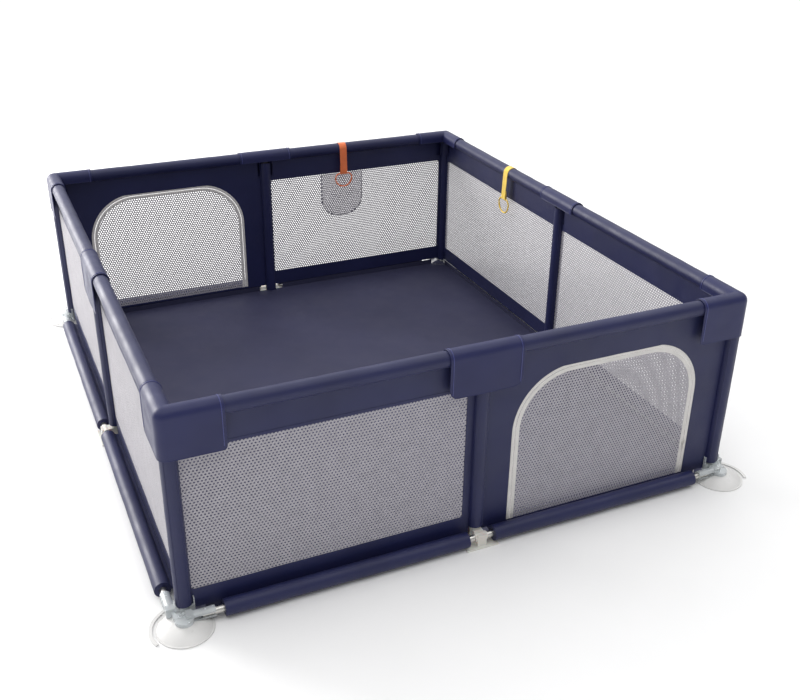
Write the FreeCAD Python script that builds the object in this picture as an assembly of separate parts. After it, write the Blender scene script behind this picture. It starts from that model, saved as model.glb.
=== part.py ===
"""Square play yard for small children: steel tube frame, padded cloth walls with
mesh windows, two zipped arch doors, suction-cup feet and two hanging hand rings.

Millimetres. +Z is up, the origin is on the floor at the middle of the yard, the
front wall faces -Y. A wall is drawn in its own frame first: x runs along the wall,
y points into the yard and is 0 in the plane of the posts. It is then turned and
moved to its side. Corner pieces are drawn at the front left and mirrored.
"""

import FreeCAD
import Part
import math
import os

from FreeCAD import Vector

# Driving dimensions
SPAN_X = 1755.0            # corner post centres, left to right
SPAN_Y = 2000.0            # corner post centres, front to back
ROLL_TOP = 652.0           # top of the padded top rails
ROLL_R = 24.0              # outside of every padded roll
SLEEVE_R = 23.0            # outside of the cloth sleeves round the posts
CLOTH = 1.5                # cloth round rolls and posts
WALL_CLOTH = 2.0           # wall panel, two layers
BAND_CLOTH = 4.0           # folded band under the top rail
FIT = 0.1                  # radial gap of a plug in a tube
GAP = 0.3                  # gap between pieces that only lie side by side

# Frame
TUBE_R = 12.5
TUBE_WALL = 0.8
LOW_TUBE_R = 10.5
LOW_TUBE_OUT = 36.0        # bottom rails stand this far outside the posts
LOW_TUBE_Z = 28.0
POST_FOOT_Z = 24.0
POST_TOP_Z = 600.0
JOINT_R = 18.0
COLLAR_R = 14.0
PLUG_LENGTH = 40.0
CORNER_TO_RAIL = 30.0      # corner post centre to the end of a top rail
MID_TO_RAIL = 24.0
CORNER_TO_LOW_RAIL = 39.5
MID_TO_LOW_RAIL = 20.0

# Walls
WALL_BOTTOM = 26.0
BAND_BOTTOM = 530.0
SLEEVE_BOTTOM = 49.0
SLEEVE_TOP = 602.0
CORNER_TO_ROLL = 45.0
MID_TO_ROLL = 34.0
CORNER_TO_LOW_ROLL = 100.0
MID_TO_LOW_ROLL = 42.0
WINDOW_BOTTOM = 88.0
WINDOW_TOP = 518.0
WINDOW_CORNER_R = 8.0
MESH = 1.2

# Arch doors
DOOR_CENTRE = 435.0        # from the mid post
DOOR_WIDTH = 656.0
DOOR_TOP = 533.0
DOOR_ARC = 190.0
DOOR_SILL = 34.0           # lower end of the opening in the wall
DOOR_HINGE_Z = 54.0        # the flap folds outwards along this line
TAPE_WALL = 10.0           # half of the zip tape sewn to the wall
TAPE_GAP = 3.0             # room for the zip's coil
TAPE_DOOR = 11.0           # half of the zip tape sewn to the flap
TAPE = 2.4
SLIDER_Z = 150.0           # slider when the door is shut
SLIDER_HALF = 7.0          # along the zip
SLIDER_REACH = 5.0         # over the flap's half of the zip
SLIDER_WEB = 1.0           # half of the web that runs in the coil's gap
SLIDER_FRONT = 2.2
SLIDER_BACK = 2.0
BAIL = 0.9                 # radius of the bail's bar
BAIL_CHEEK = 0.8
BAIL_HALF = 2.9
BAIL_OUT = 4.6             # bar in front of the tape
BAIL_UP = 4.0              # bar above the slider's middle
PULL_EYE_R = 2.3
PULL_HALF = 1.8            # half width of the pull's neck and eye
PULL_NECK = 6.0
PULL_TOP = 5.0
PULL_TIP = 29.0
PULL_TAB_HALF = 3.2
PULL_PLATE = 0.8           # half of the pull's thickness

# Covers over the joints
COVER_R = 27.5
COVER_SKIN = 2.0
COVER_BOTTOM = 515.0
COVER_INNER_BOTTOM = 612.0
COVER_FLAP_R = 26.0
MID_COVER_HALF = 113.0
CORNER_COVER_REACH = 145.0

# Feet
CUP_SHIFT_X = 9.5          # cup centre outwards of the corner post, along X
CUP_SHIFT_Y = 40.0         # and along Y
CUP_R = 78.0
CUP_H = 24.0
CUP_SKIN = 3.5
CUP_LIP = 4.0              # flat edge between the hollow and the rim
CUP_RIM = 1.5              # the rim stands out from the dome
CUP_RIM_H = 3.0
CUP_NUB_R = 9.0
CUP_NUB_H = 7.0            # the nub stands this far above the dome
EAR_IN = 86.0
EAR_OUT = 95.0
EAR_START = 112.0
EAR_END = 205.0
EAR_LOW = 1.0
EAR_HIGH = 4.5
EAR_NECK = 12.0            # degrees of the ear that join the cup
BOSS_R = 26.0              # block of the corner foot over the cup's nub
BOSS_TOP = 33.0
COLLAR_WALL = 4.0          # corner foot's collar round the post
COLLAR_LOW = 8.0
COLLAR_TOP = 46.0
FOOT_UNDERSIDE = 5.0
CLIP_START = -5.0          # from the post's centre, along the bottom rail
CLIP_LENGTH = 80.0
CLIP_ROOT = 20.0
CLIP_WALL = 5.0
CLIP_FIT = 0.5
CLIP_SLOT = 6.0            # half of the gap between the two fingers
CLIP_BLOCK = 14.0          # half width of the root block
CLIP_BLOCK_LOW = 16.0
CLIP_BLOCK_TOP = 43.0
FIN_FIT = 1.5              # upright fins stand this far off the post's cloth
FIN = 3.0
FIN_NEAR = 3.0
FIN_FAR = 12.0
FIN_LOW = 20.0
FIN_TOP = 70.0
FIN_ROOT = 8.0
FIN_ROOT_TOP = 44.0
LINK_LOW = 14.0            # web between the two clips
LINK_TOP = 34.0
SOLE_HALF = 52.0           # sole of a mid foot, along the wall
SOLE_IN = 3.0              # its inner edge
SOLE = 3.5
STEM_HALF = 15.0
STEM_IN = 14.0
STEM_TOP = 40.0
MID_COLLAR_WALL = 3.5
MID_ROOT_WALL = 3.0
MID_PLUG_END = 50.0

# Hand rings
STRAP_WIDTH = 32.0
STRAP = 1.5
RING_WIRE_R = 3.0
RING_TOP_HALF = 17.0
RING_CORNER_R = 21.5
RING_TOP_Z = 520.0
RING_FIT = 0.4
RING_BACK_X = -357.0       # along the back wall, in its own frame
RING_RIGHT_X = 390.0       # along the right wall

# Pocket outside the back window
POCKET_X = -358.0
POCKET_WIDTH = 194.0
POCKET_TOP = 512.0
POCKET_BOTTOM = 317.0
POCKET_DEPTH = 16.0
POCKET_SKIN = 2.0
POCKET_R = 80.0

# Floor cloth
FLOOR_INSET = 4.0
FLOOR_LOW = 1.0
FLOOR_HIGH = 3.5
FLOOR_CLOTH = 1.6          # where it is raised over the suction cups
FLOOR_LIFT = 1.2           # room between the raised cloth and the cups
SKIRT_MID_Z = 4.6          # the sleeves reach down here inside the yard
SKIRT_CORNER_Z = 19.5
OFF_WALL = 1.3             # pieces inside the yard stay this far off the walls' planes

HALF_X = SPAN_X / 2
HALF_Y = SPAN_Y / 2
ROLL_Z = ROLL_TOP - ROLL_R
UP = Vector(0, 0, 1)
ALONG = Vector(1, 0, 0)
INWARD = Vector(0, 1, 0)

# turn about Z, distance of the wall from the origin, half its length
SIDES = {
    "front": (0.0, HALF_Y, HALF_X),
    "right": (90.0, HALF_X, HALF_Y),
    "back": (180.0, HALF_Y, HALF_X),
    "left": (270.0, HALF_X, HALF_Y),
}

# mesh windows of each wall: (start, end) along the wall
WINDOWS = {
    "front": [(-HALF_X + 24.0, -46.0)],
    "right": [(-HALF_Y + 34.0, -SLEEVE_R - 1.0), (SLEEVE_R + 1.0, HALF_Y - 34.0)],
    "back": [(-HALF_X + 32.0, -SLEEVE_R - 1.0)],
    "left": [(-HALF_Y + 34.0, -SLEEVE_R - 1.0), (SLEEVE_R + 1.0, HALF_Y - 34.0)],
}
DOOR_SIDES = ("front", "back")

CORNERS = {
    "front_left": (1, 1),
    "front_right": (-1, 1),
    "back_right": (-1, -1),
    "back_left": (1, -1),
}


def box(x0, x1, y0, y1, z0, z1):
    return Part.makeBox(x1 - x0, y1 - y0, z1 - z0, Vector(x0, y0, z0))


def rod(radius, start, direction, length):
    return Part.makeCylinder(radius, length, Vector(*start), direction)


def tube(outer, inner, start, direction, length):
    return rod(outer, start, direction, length).cut(rod(inner, start, direction, length))


def joined(shapes):
    whole = shapes[0].multiFuse(shapes[1:])
    return whole.removeSplitter()


def to_side(shape, side):
    turn, reach, _ = SIDES[side]
    moved = shape.copy()
    moved.translate(Vector(0, -reach, 0))
    moved.rotate(Vector(0, 0, 0), UP, turn)
    return moved


def to_corner(shape, corner):
    flip_x, flip_y = CORNERS[corner]
    moved = shape.copy()
    if flip_x < 0:
        moved = moved.mirror(Vector(0, 0, 0), ALONG)
    if flip_y < 0:
        moved = moved.mirror(Vector(0, 0, 0), INWARD)
    return moved


def save(name, shapes):
    group = shapes if isinstance(shapes, list) else [shapes]
    solids = [solid for shape in group for solid in shape.Solids]
    out = solids[0] if len(solids) == 1 else Part.makeCompound(solids)
    if not out.isValid():
        raise ValueError(f"{name} is not a valid shape")
    out.exportStep(os.path.join("parts", name + ".step"))
    print(name, len(solids), round(out.Volume / 1000, 1), "cm3")


def bays(half, from_corner, from_mid):
    """Start and end of the two bays of a wall, left one first."""
    return [(-half + from_corner, -from_mid), (from_mid, half - from_corner)]


# Outlines in the plane of a wall

def plate(wire, y0, y1):
    """Thicken an outline that is drawn at y = 0."""
    face = Part.Face(wire)
    solid = face.extrude(Vector(0, y1 - y0, 0))
    solid.translate(Vector(0, y0, 0))
    return solid


def line(a, b):
    return Part.LineSegment(Vector(a[0], 0, a[1]), Vector(b[0], 0, b[1])).toShape()


def arc(a, middle, b):
    points = [Vector(p[0], 0, p[1]) for p in (a, middle, b)]
    return Part.Arc(*points).toShape()


def on_circle(centre, radius, degrees):
    angle = math.radians(degrees)
    return (centre[0] + radius * math.cos(angle), centre[1] + radius * math.sin(angle))


def arch_wire(inset, bottom):
    """Door outline, drawn in by inset, with its legs ending at bottom."""
    x0 = DOOR_CENTRE - DOOR_WIDTH / 2 + inset
    x1 = DOOR_CENTRE + DOOR_WIDTH / 2 - inset
    radius = DOOR_ARC - inset
    level = DOOR_TOP - DOOR_ARC
    left = (x0 + radius, level)
    right = (x1 - radius, level)
    top = level + radius
    return Part.Wire([
        line((x0, bottom), (x0, level)),
        arc((x0, level), on_circle(left, radius, 135), (left[0], top)),
        line((left[0], top), (right[0], top)),
        arc((right[0], top), on_circle(right, radius, 45), (x1, level)),
        line((x1, level), (x1, bottom)),
        line((x1, bottom), (x0, bottom)),
    ])


def rounded_wire(x0, x1, z0, z1, low_r, high_r):
    """Rectangle with its lower corners rounded by low_r, upper ones by high_r."""
    edges = []
    here = (x0, z0 + low_r)
    corners = [
        ((x0 + high_r, z1 - high_r), high_r, 180, 90, (x0, z1 - high_r)),
        ((x1 - high_r, z1 - high_r), high_r, 90, 0, (x1 - high_r, z1)),
        ((x1 - low_r, z0 + low_r), low_r, 0, -90, (x1, z0 + low_r)),
        ((x0 + low_r, z0 + low_r), low_r, -90, -180, (x0 + low_r, z0)),
    ]
    for centre, radius, start, end, entry in corners:
        if math.dist(here, entry) > 1e-6:
            edges.append(line(here, entry))
        if radius > 0:
            leave = on_circle(centre, radius, end)
            edges.append(arc(entry, on_circle(centre, radius, (start + end) / 2), leave))
            here = leave
        else:
            here = entry
    if math.dist(here, (x0, z0 + low_r)) > 1e-6:
        edges.append(line(here, (x0, z0 + low_r)))
    return Part.Wire(edges)


# Steel frame

def post():
    return tube(TUBE_R, TUBE_R - TUBE_WALL, (0, 0, POST_FOOT_Z), UP, POST_TOP_Z - POST_FOOT_Z)


def top_rails(half):
    return [
        tube(TUBE_R, TUBE_R - TUBE_WALL, (start, 0, ROLL_Z), ALONG, end - start)
        for start, end in bays(half, CORNER_TO_RAIL, MID_TO_RAIL)
    ]


def bottom_rails(half):
    inner = LOW_TUBE_R - TUBE_WALL
    return [
        tube(LOW_TUBE_R, inner, (start, -LOW_TUBE_OUT, LOW_TUBE_Z), ALONG, end - start)
        for start, end in bays(half, CORNER_TO_LOW_RAIL, MID_TO_LOW_RAIL)
    ]


def spigot(centre, direction, collar_end):
    """Collar and plug that leave a joint along one direction."""
    plug_r = TUBE_R - TUBE_WALL - FIT
    return [
        rod(COLLAR_R, centre, direction, collar_end),
        rod(plug_r, centre, direction, collar_end + PLUG_LENGTH),
    ]


def top_corner_joint():
    centre = (-HALF_X, -HALF_Y, ROLL_Z)
    pieces = [Part.makeSphere(JOINT_R, Vector(*centre))]
    pieces += spigot(centre, ALONG, CORNER_TO_RAIL)
    pieces += spigot(centre, INWARD, CORNER_TO_RAIL)
    pieces += spigot(centre, -UP, ROLL_Z - POST_TOP_Z)
    return joined(pieces)


def top_mid_joint():
    centre = (0, 0, ROLL_Z)
    pieces = [rod(JOINT_R, (-JOINT_R, 0, ROLL_Z), ALONG, 2 * JOINT_R)]
    pieces += spigot(centre, ALONG, MID_TO_RAIL)
    pieces += spigot(centre, -ALONG, MID_TO_RAIL)
    pieces += spigot(centre, -UP, ROLL_Z - POST_TOP_Z)
    return joined(pieces)


def foam_sleeves():
    """Foam on every rail and post, inside the cloth."""
    shapes = []
    inner_fit = 2 * FIT
    for side, (_, _, half) in SIDES.items():
        for start, end in bays(half, CORNER_TO_ROLL, MID_TO_ROLL):
            shapes.append(to_side(tube(
                ROLL_R - CLOTH - GAP, TUBE_R + inner_fit,
                (start, 0, ROLL_Z), ALONG, end - start), side))
        for start, end in bays(half, CORNER_TO_LOW_ROLL, MID_TO_LOW_ROLL):
            shapes.append(to_side(tube(
                ROLL_R - CLOTH - GAP, LOW_TUBE_R + inner_fit,
                (start, -LOW_TUBE_OUT, LOW_TUBE_Z), ALONG, end - start), side))
    stand = tube(
        SLEEVE_R - CLOTH - GAP, TUBE_R + inner_fit,
        (0, 0, SLEEVE_BOTTOM), UP, SLEEVE_TOP - SLEEVE_BOTTOM - COLLAR_R)
    for side in SIDES:
        shapes.append(to_side(stand, side))
    corner_stand = stand.copy()
    corner_stand.translate(Vector(-HALF_X, -HALF_Y, 0))
    for corner in CORNERS:
        shapes.append(to_corner(corner_stand, corner))
    return shapes


# Cloth walls

def skirt(x, low, x0, x1):
    """Inner part of a post's sleeve that hangs over the foot's collar."""
    ring = tube(SLEEVE_R, SLEEVE_R - CLOTH, (x, 0, low), UP, SLEEVE_BOTTOM + CLOTH - low)
    return ring.common(box(x0, x1, OFF_WALL, SLEEVE_R, low, SLEEVE_BOTTOM + CLOTH))


def wall(side):
    half = SIDES[side][2]
    owns_corners = side in DOOR_SIDES
    end = half if owns_corners else half - SLEEVE_R - GAP
    panel_top = ROLL_Z - ROLL_R + CLOTH * 0.6
    cloth = WALL_CLOTH / 2
    solids = [
        box(-end, end, -cloth, cloth, WALL_BOTTOM, panel_top),
        box(-end, end, -BAND_CLOTH / 2, BAND_CLOTH / 2, BAND_BOTTOM, panel_top),
    ]
    bores = []
    for start, stop in bays(half, CORNER_TO_ROLL, MID_TO_ROLL):
        at = (start, 0, ROLL_Z)
        solids.append(rod(ROLL_R, at, ALONG, stop - start))
        bores.append(rod(ROLL_R - CLOTH, at, ALONG, stop - start))
    for start, stop in bays(half, CORNER_TO_LOW_ROLL, MID_TO_LOW_ROLL):
        at = (start, -LOW_TUBE_OUT, LOW_TUBE_Z)
        solids.append(rod(ROLL_R, at, ALONG, stop - start))
        bores.append(rod(ROLL_R - CLOTH, at, ALONG, stop - start))
        web_out = LOW_TUBE_OUT - ROLL_R + CLOTH / 2
        solids.append(box(start, stop, -web_out, 0, LOW_TUBE_Z - CLOTH, LOW_TUBE_Z + CLOTH))
    stands = [-half, 0.0, half] if owns_corners else [0.0]
    for x in stands:
        height = SLEEVE_TOP - SLEEVE_BOTTOM
        solids.append(rod(SLEEVE_R, (x, 0, SLEEVE_BOTTOM), UP, height))
        bores.append(rod(SLEEVE_R - CLOTH, (x, 0, 0), UP, ROLL_Z))
    solids.append(skirt(0, SKIRT_MID_Z, -SLEEVE_R, SLEEVE_R))
    if owns_corners:
        solids.append(skirt(-half, SKIRT_CORNER_Z, OFF_WALL - half, SLEEVE_R - half))
        solids.append(skirt(half, SKIRT_CORNER_Z, half - SLEEVE_R, half - OFF_WALL))
    openings = [
        plate(window_wire(start, stop), -ROLL_R, ROLL_R) for start, stop in WINDOWS[side]
    ]
    if owns_corners:
        openings.append(plate(arch_wire(0, DOOR_SILL), -BAND_CLOTH, BAND_CLOTH))
    return joined(solids).cut(Part.makeCompound(bores)).cut(Part.makeCompound(openings))


def window_wire(start, stop):
    return rounded_wire(
        start, stop, WINDOW_BOTTOM, WINDOW_TOP, WINDOW_CORNER_R, WINDOW_CORNER_R)


def mesh_panels(side):
    """Window meshes of a wall, and the mesh strip under its door."""
    panels = [
        plate(window_wire(start, stop), -MESH / 2, MESH / 2) for start, stop in WINDOWS[side]
    ]
    if side in DOOR_SIDES:
        reach = DOOR_WIDTH / 2 - TAPE_WALL
        panels.append(box(
            DOOR_CENTRE - reach, DOOR_CENTRE + reach,
            -MESH / 2, MESH / 2, DOOR_SILL, DOOR_HINGE_Z - GAP))
    return panels


def over_cup(grow):
    """Space over the first suction cup, a little larger than the cup."""
    dome = cap_of_sphere(CUP_R + CUP_RIM + grow, CUP_H + FLOOR_LIFT + grow)
    rim = rod(
        CUP_R + CUP_RIM + FLOOR_LIFT + grow, (0, 0, 0), UP, CUP_RIM_H + FLOOR_LIFT + grow)
    space = dome.fuse(rim)
    space.translate(cup_centre())
    return space


def cup_hood():
    """Cloth raised over the part of a suction cup that lies inside the yard."""
    collar = rod(SLEEVE_R - CLOTH * 2, (-HALF_X, -HALF_Y, 0), UP, SLEEVE_BOTTOM)
    cloth = over_cup(FLOOR_CLOTH).cut(over_cup(0)).cut(collar)
    x, y = OFF_WALL - HALF_X, OFF_WALL - HALF_Y
    return cloth.common(box(x, x + CUP_R * 2, y, y + CUP_R * 2, FLOOR_LOW, CUP_H * 2))


def floor_cloth():
    """Flat sheet, open at the feet and raised over the suction cups."""
    sheet = box(
        -HALF_X + FLOOR_INSET, HALF_X - FLOOR_INSET,
        -HALF_Y + FLOOR_INSET, HALF_Y - FLOOR_INSET, FLOOR_LOW, FLOOR_HIGH)
    over_sole = box(-SOLE_HALF - 2, SOLE_HALF + 2, -10, SOLE_IN + 2, 0, CUP_H)
    over_stem = rod(SLEEVE_R - CLOTH, (0, 0, 0), UP, CUP_H)
    openings = [to_corner(over_cup(0), corner) for corner in CORNERS]
    openings += [to_side(over_sole.fuse(over_stem), side) for side in SIDES]
    hoods = [to_corner(cup_hood(), corner) for corner in CORNERS]
    return joined([sheet.cut(Part.makeCompound(openings))] + hoods)


# Arch door, shared by the front and the back wall

def zip_tape_wall():
    outer = plate(arch_wire(0, DOOR_SILL), -TAPE / 2, TAPE / 2)
    inner = plate(arch_wire(TAPE_WALL, 0), -TAPE, TAPE)
    return outer.cut(inner)


def door_tape():
    bottom = DOOR_HINGE_Z + GAP
    outer = plate(arch_wire(TAPE_WALL + TAPE_GAP, bottom), -TAPE / 2, TAPE / 2)
    inner = plate(arch_wire(TAPE_WALL + TAPE_GAP + TAPE_DOOR, 0), -TAPE, TAPE)
    return outer.cut(inner)


def door_mesh():
    inset = TAPE_WALL + TAPE_GAP + TAPE_DOOR
    return plate(arch_wire(inset, DOOR_HINGE_Z + GAP), -MESH / 2, MESH / 2)


def zip_line_x():
    """The straight right leg of the zip."""
    return DOOR_CENTRE + DOOR_WIDTH / 2 - TAPE_WALL - TAPE_GAP / 2


def zip_slider():
    """Body that grips the flap's half of the zip, with the bail for its pull."""
    x = zip_line_x()
    face = TAPE / 2 + GAP
    low, high = SLIDER_Z - SLIDER_HALF, SLIDER_Z + SLIDER_HALF
    left, right = x - SLIDER_REACH, x + SLIDER_WEB
    pieces = [
        box(left, x + SLIDER_REACH, -face - SLIDER_FRONT, -face, low, high),
        box(x - SLIDER_WEB, right, -face - BAIL, face + BAIL, low, high),
        box(left, right, face, face + SLIDER_BACK, low, high),
    ]
    bar_y, bar_z = pull_axis()
    for cheek in (x - BAIL_HALF, x + BAIL_HALF - BAIL_CHEEK):
        pieces.append(box(
            cheek, cheek + BAIL_CHEEK, bar_y - BAIL, -face - SLIDER_FRONT / 2,
            bar_z - BAIL, bar_z + BAIL))
    pieces.append(rod(BAIL, (x - BAIL_HALF, bar_y, bar_z), ALONG, 2 * BAIL_HALF))
    return joined(pieces)


def pull_axis():
    return -TAPE / 2 - GAP - BAIL_OUT, SLIDER_Z + BAIL_UP


def zip_pull():
    """Tab that hangs from the slider's bail."""
    x = zip_line_x()
    bar_y, bar_z = pull_axis()
    front, rear = bar_y - PULL_PLATE, bar_y + PULL_PLATE
    eye = rod(PULL_EYE_R, (x - PULL_HALF, bar_y, bar_z), ALONG, 2 * PULL_HALF)
    neck = box(x - PULL_HALF, x + PULL_HALF, front, rear, bar_z - PULL_NECK, bar_z)
    outline = rounded_wire(
        x - PULL_TAB_HALF, x + PULL_TAB_HALF, bar_z - PULL_TIP, bar_z - PULL_TOP,
        PULL_TAB_HALF - GAP, BAIL)
    tab = plate(outline, front, rear)
    hole = rod(BAIL + FIT, (x - PULL_TAB_HALF, bar_y, bar_z), ALONG, 2 * PULL_TAB_HALF)
    return joined([eye, neck, tab]).cut(hole)


# Covers over the joints of the top rail

def cover_profile(radius, low_inner, low_outer, x):
    """Closed outline across the rail: hood on top, long flap outside, short lip inside."""
    def at(y, z):
        return Vector(x, y, z)
    edges = [
        Part.LineSegment(at(-radius, low_outer), at(-radius, ROLL_Z)).toShape(),
        Part.Arc(at(-radius, ROLL_Z), at(0, ROLL_Z + radius), at(radius, ROLL_Z)).toShape(),
        Part.LineSegment(at(radius, ROLL_Z), at(radius, low_inner)).toShape(),
        Part.LineSegment(at(radius, low_inner), at(0, low_inner)).toShape(),
        Part.LineSegment(at(0, low_inner), at(0, low_outer)).toShape(),
        Part.LineSegment(at(0, low_outer), at(-radius, low_outer)).toShape(),
    ]
    return Part.Face(Part.Wire(edges))


def cover_arm(radius, start, stop, low_inner, low_outer):
    return cover_profile(radius, low_inner, low_outer, start).extrude(Vector(stop - start, 0, 0))


def flap_round(x, side):
    """What a flap loses where its lower corner at x is rounded; side +1 is a right end."""
    block = box(
        min(x, x - side * COVER_FLAP_R), max(x, x - side * COVER_FLAP_R),
        -COVER_R - 5, 0, COVER_BOTTOM, COVER_BOTTOM + COVER_FLAP_R)
    centre = (x - side * COVER_FLAP_R, -COVER_R - 5, COVER_BOTTOM + COVER_FLAP_R)
    return block.cut(rod(COVER_FLAP_R, centre, INWARD, COVER_R + 5))


def mid_cover():
    half = MID_COVER_HALF
    inner_r = COVER_R - COVER_SKIN
    hood = cover_arm(COVER_R, -half, half, COVER_INNER_BOTTOM, COVER_BOTTOM)
    room = cover_arm(inner_r, -half, half, COVER_INNER_BOTTOM - 5, COVER_BOTTOM - 5)
    room = room.fuse(box(-half, half, -inner_r, inner_r, COVER_BOTTOM - 5, ROLL_Z))
    shell = hood.cut(room)
    return shell.cut(flap_round(half, 1)).cut(flap_round(-half, -1))


def corner_cover():
    inner_r = COVER_R - COVER_SKIN
    reach = CORNER_COVER_REACH
    below = COVER_BOTTOM - 5

    def body(radius, length, low_inner, low_outer):
        arm = cover_arm(radius, 0, length, low_inner, low_outer)
        other = arm.mirror(Vector(0, 0, 0), Vector(1, -1, 0))
        return [
            arm,
            other,
            rod(radius, (0, 0, low_outer), UP, ROLL_Z - low_outer),
            Part.makeSphere(radius, Vector(0, 0, ROLL_Z)),
        ]

    solid = joined(body(COVER_R, reach, COVER_INNER_BOTTOM, COVER_BOTTOM))
    corner_room = body(inner_r, reach + 5, COVER_INNER_BOTTOM - 5, below)
    corner_room.append(box(-1, reach + 5, -inner_r, inner_r, below, ROLL_Z))
    corner_room.append(box(-inner_r, inner_r, -1, reach + 5, below, ROLL_Z))
    shell = solid.cut(joined(corner_room))
    trim = flap_round(reach, 1)
    other_trim = trim.mirror(Vector(0, 0, 0), Vector(1, -1, 0))
    shell = shell.cut(trim).cut(other_trim)
    shell.translate(Vector(-HALF_X, -HALF_Y, 0))
    return shell


# Feet

def cap_of_sphere(base_radius, height):
    """Dome that stands on z = 0."""
    radius = (base_radius ** 2 + height ** 2) / (2 * height)
    ball = Part.makeSphere(radius, Vector(0, 0, height - radius))
    return ball.common(box(-radius, radius, -radius, radius, 0, height + 1))


def ring_sector(inner, outer, start, end, z0, z1):
    middle = (start + end) / 2

    def at(radius, degrees):
        x, y = on_circle((0, 0), radius, degrees)
        return Vector(x, y, z0)

    edges = [
        Part.Arc(at(outer, start), at(outer, middle), at(outer, end)).toShape(),
        Part.LineSegment(at(outer, end), at(inner, end)).toShape(),
        Part.Arc(at(inner, end), at(inner, middle), at(inner, start)).toShape(),
        Part.LineSegment(at(inner, start), at(outer, start)).toShape(),
    ]
    return Part.Face(Part.Wire(edges)).extrude(Vector(0, 0, z1 - z0))


def cup_centre():
    return Vector(-HALF_X - CUP_SHIFT_X, -HALF_Y - CUP_SHIFT_Y, 0)


def suction_cup():
    """Soft dome with a rim, a nub that plugs into the foot and a curved pull ear."""
    dome = cap_of_sphere(CUP_R, CUP_H)
    hollow = cap_of_sphere(CUP_R - CUP_LIP, CUP_H - CUP_SKIN)
    rim = tube(CUP_R + CUP_RIM, CUP_R - CUP_LIP, (0, 0, 0), UP, CUP_RIM_H)
    root = CUP_H - CUP_SKIN / 2
    nub = rod(CUP_NUB_R, (0, 0, root), UP, CUP_H + CUP_NUB_H - root)
    ear = ring_sector(EAR_IN, EAR_OUT, EAR_START, EAR_END, EAR_LOW, EAR_HIGH)
    neck = ring_sector(CUP_R, EAR_IN + 1.0, EAR_START, EAR_START + EAR_NECK, EAR_LOW, CUP_RIM_H)
    cup = joined([dome.cut(hollow), rim, nub, ear, neck])
    cup.translate(cup_centre())
    return cup


def tube_clip():
    """Root block and two long fingers that hold a bottom rail, along x."""
    finger_r = LOW_TUBE_R + CLIP_WALL
    root_end = CLIP_START + CLIP_ROOT
    end = CLIP_START + CLIP_LENGTH
    shell = tube(
        finger_r, LOW_TUBE_R + CLIP_FIT, (root_end, -LOW_TUBE_OUT, LOW_TUBE_Z),
        ALONG, end - root_end)
    window = box(
        root_end, end, -LOW_TUBE_OUT - finger_r, -LOW_TUBE_OUT + finger_r,
        LOW_TUBE_Z - CLIP_SLOT, LOW_TUBE_Z + CLIP_SLOT)
    block = box(
        CLIP_START, root_end, -LOW_TUBE_OUT - CLIP_BLOCK, -LOW_TUBE_OUT + CLIP_BLOCK,
        CLIP_BLOCK_LOW, CLIP_BLOCK_TOP)
    return [block] + shell.cut(window).Solids


def upright_fin():
    """Fin beside the post's sleeve, on a root that joins it to the collar."""
    near = SLEEVE_R + FIN_FIT
    return [
        box(near, near + FIN, -FIN_FAR, -FIN_NEAR, FIN_LOW, FIN_TOP),
        box(FIN_ROOT, near + FIN, -FIN_FAR, -FIN_NEAR, FIN_LOW, FIN_ROOT_TOP),
    ]


def corner_foot():
    """Rigid foot on the cup: post collar, upright fins and two rail clips."""
    cup_x, cup_y = -CUP_SHIFT_X, -CUP_SHIFT_Y
    across = Vector(1, -1, 0)
    origin = Vector(0, 0, 0)
    boss = rod(BOSS_R, (cup_x, cup_y, COLLAR_LOW), UP, BOSS_TOP - COLLAR_LOW)
    collar = rod(TUBE_R + COLLAR_WALL, (0, 0, COLLAR_LOW), UP, COLLAR_TOP - COLLAR_LOW)
    link = box(-LOW_TUBE_OUT, 0, -LOW_TUBE_OUT, 0, LINK_LOW, LINK_TOP)
    along_wall = tube_clip() + upright_fin()
    pieces = [boss, collar, link] + along_wall
    pieces += [shape.mirror(origin, across) for shape in along_wall]
    pieces += [shape.mirror(origin, ALONG) for shape in upright_fin()]
    dome = cap_of_sphere(CUP_R + GAP, CUP_H + GAP)
    dome.translate(Vector(cup_x, cup_y, 0))
    room = [
        rod(TUBE_R + FIT, (0, 0, POST_FOOT_Z), UP, COLLAR_TOP),
        dome,
        box(-CUP_R * 2, CUP_R * 2, -CUP_R * 2, CUP_R * 2, 0, FOOT_UNDERSIDE),
        rod(CUP_NUB_R + GAP, (cup_x, cup_y, 0), UP, CUP_H + CUP_NUB_H + GAP),
    ]
    foot = joined(pieces)
    for shape in room:
        foot = foot.cut(shape)
    foot.translate(Vector(-HALF_X, -HALF_Y, 0))
    return foot


def mid_foot():
    """Block under a mid post with plugs for two bottom rails and a flared sole."""
    out = -LOW_TUBE_OUT
    plug_r = LOW_TUBE_R - TUBE_WALL - FIT
    low = SOLE / 2
    stem = box(-STEM_HALF, STEM_HALF, out - STEM_HALF, STEM_IN, low, STEM_TOP)
    collar = rod(TUBE_R + MID_COLLAR_WALL, (0, 0, low), UP, COLLAR_TOP - low)
    rail_root = rod(
        LOW_TUBE_R + MID_ROOT_WALL, (-MID_TO_LOW_RAIL, out, LOW_TUBE_Z), ALONG,
        2 * MID_TO_LOW_RAIL)
    plugs = rod(plug_r, (-MID_PLUG_END, out, LOW_TUBE_Z), ALONG, 2 * MID_PLUG_END)
    sole = box(-SOLE_HALF, SOLE_HALF, out - ROLL_R, SOLE_IN, 0, SOLE)
    post_bore = rod(TUBE_R + FIT, (0, 0, POST_FOOT_Z), UP, COLLAR_TOP)
    return joined([stem, collar, rail_root, plugs, sole]).cut(post_bore)


# Hand rings

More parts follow.
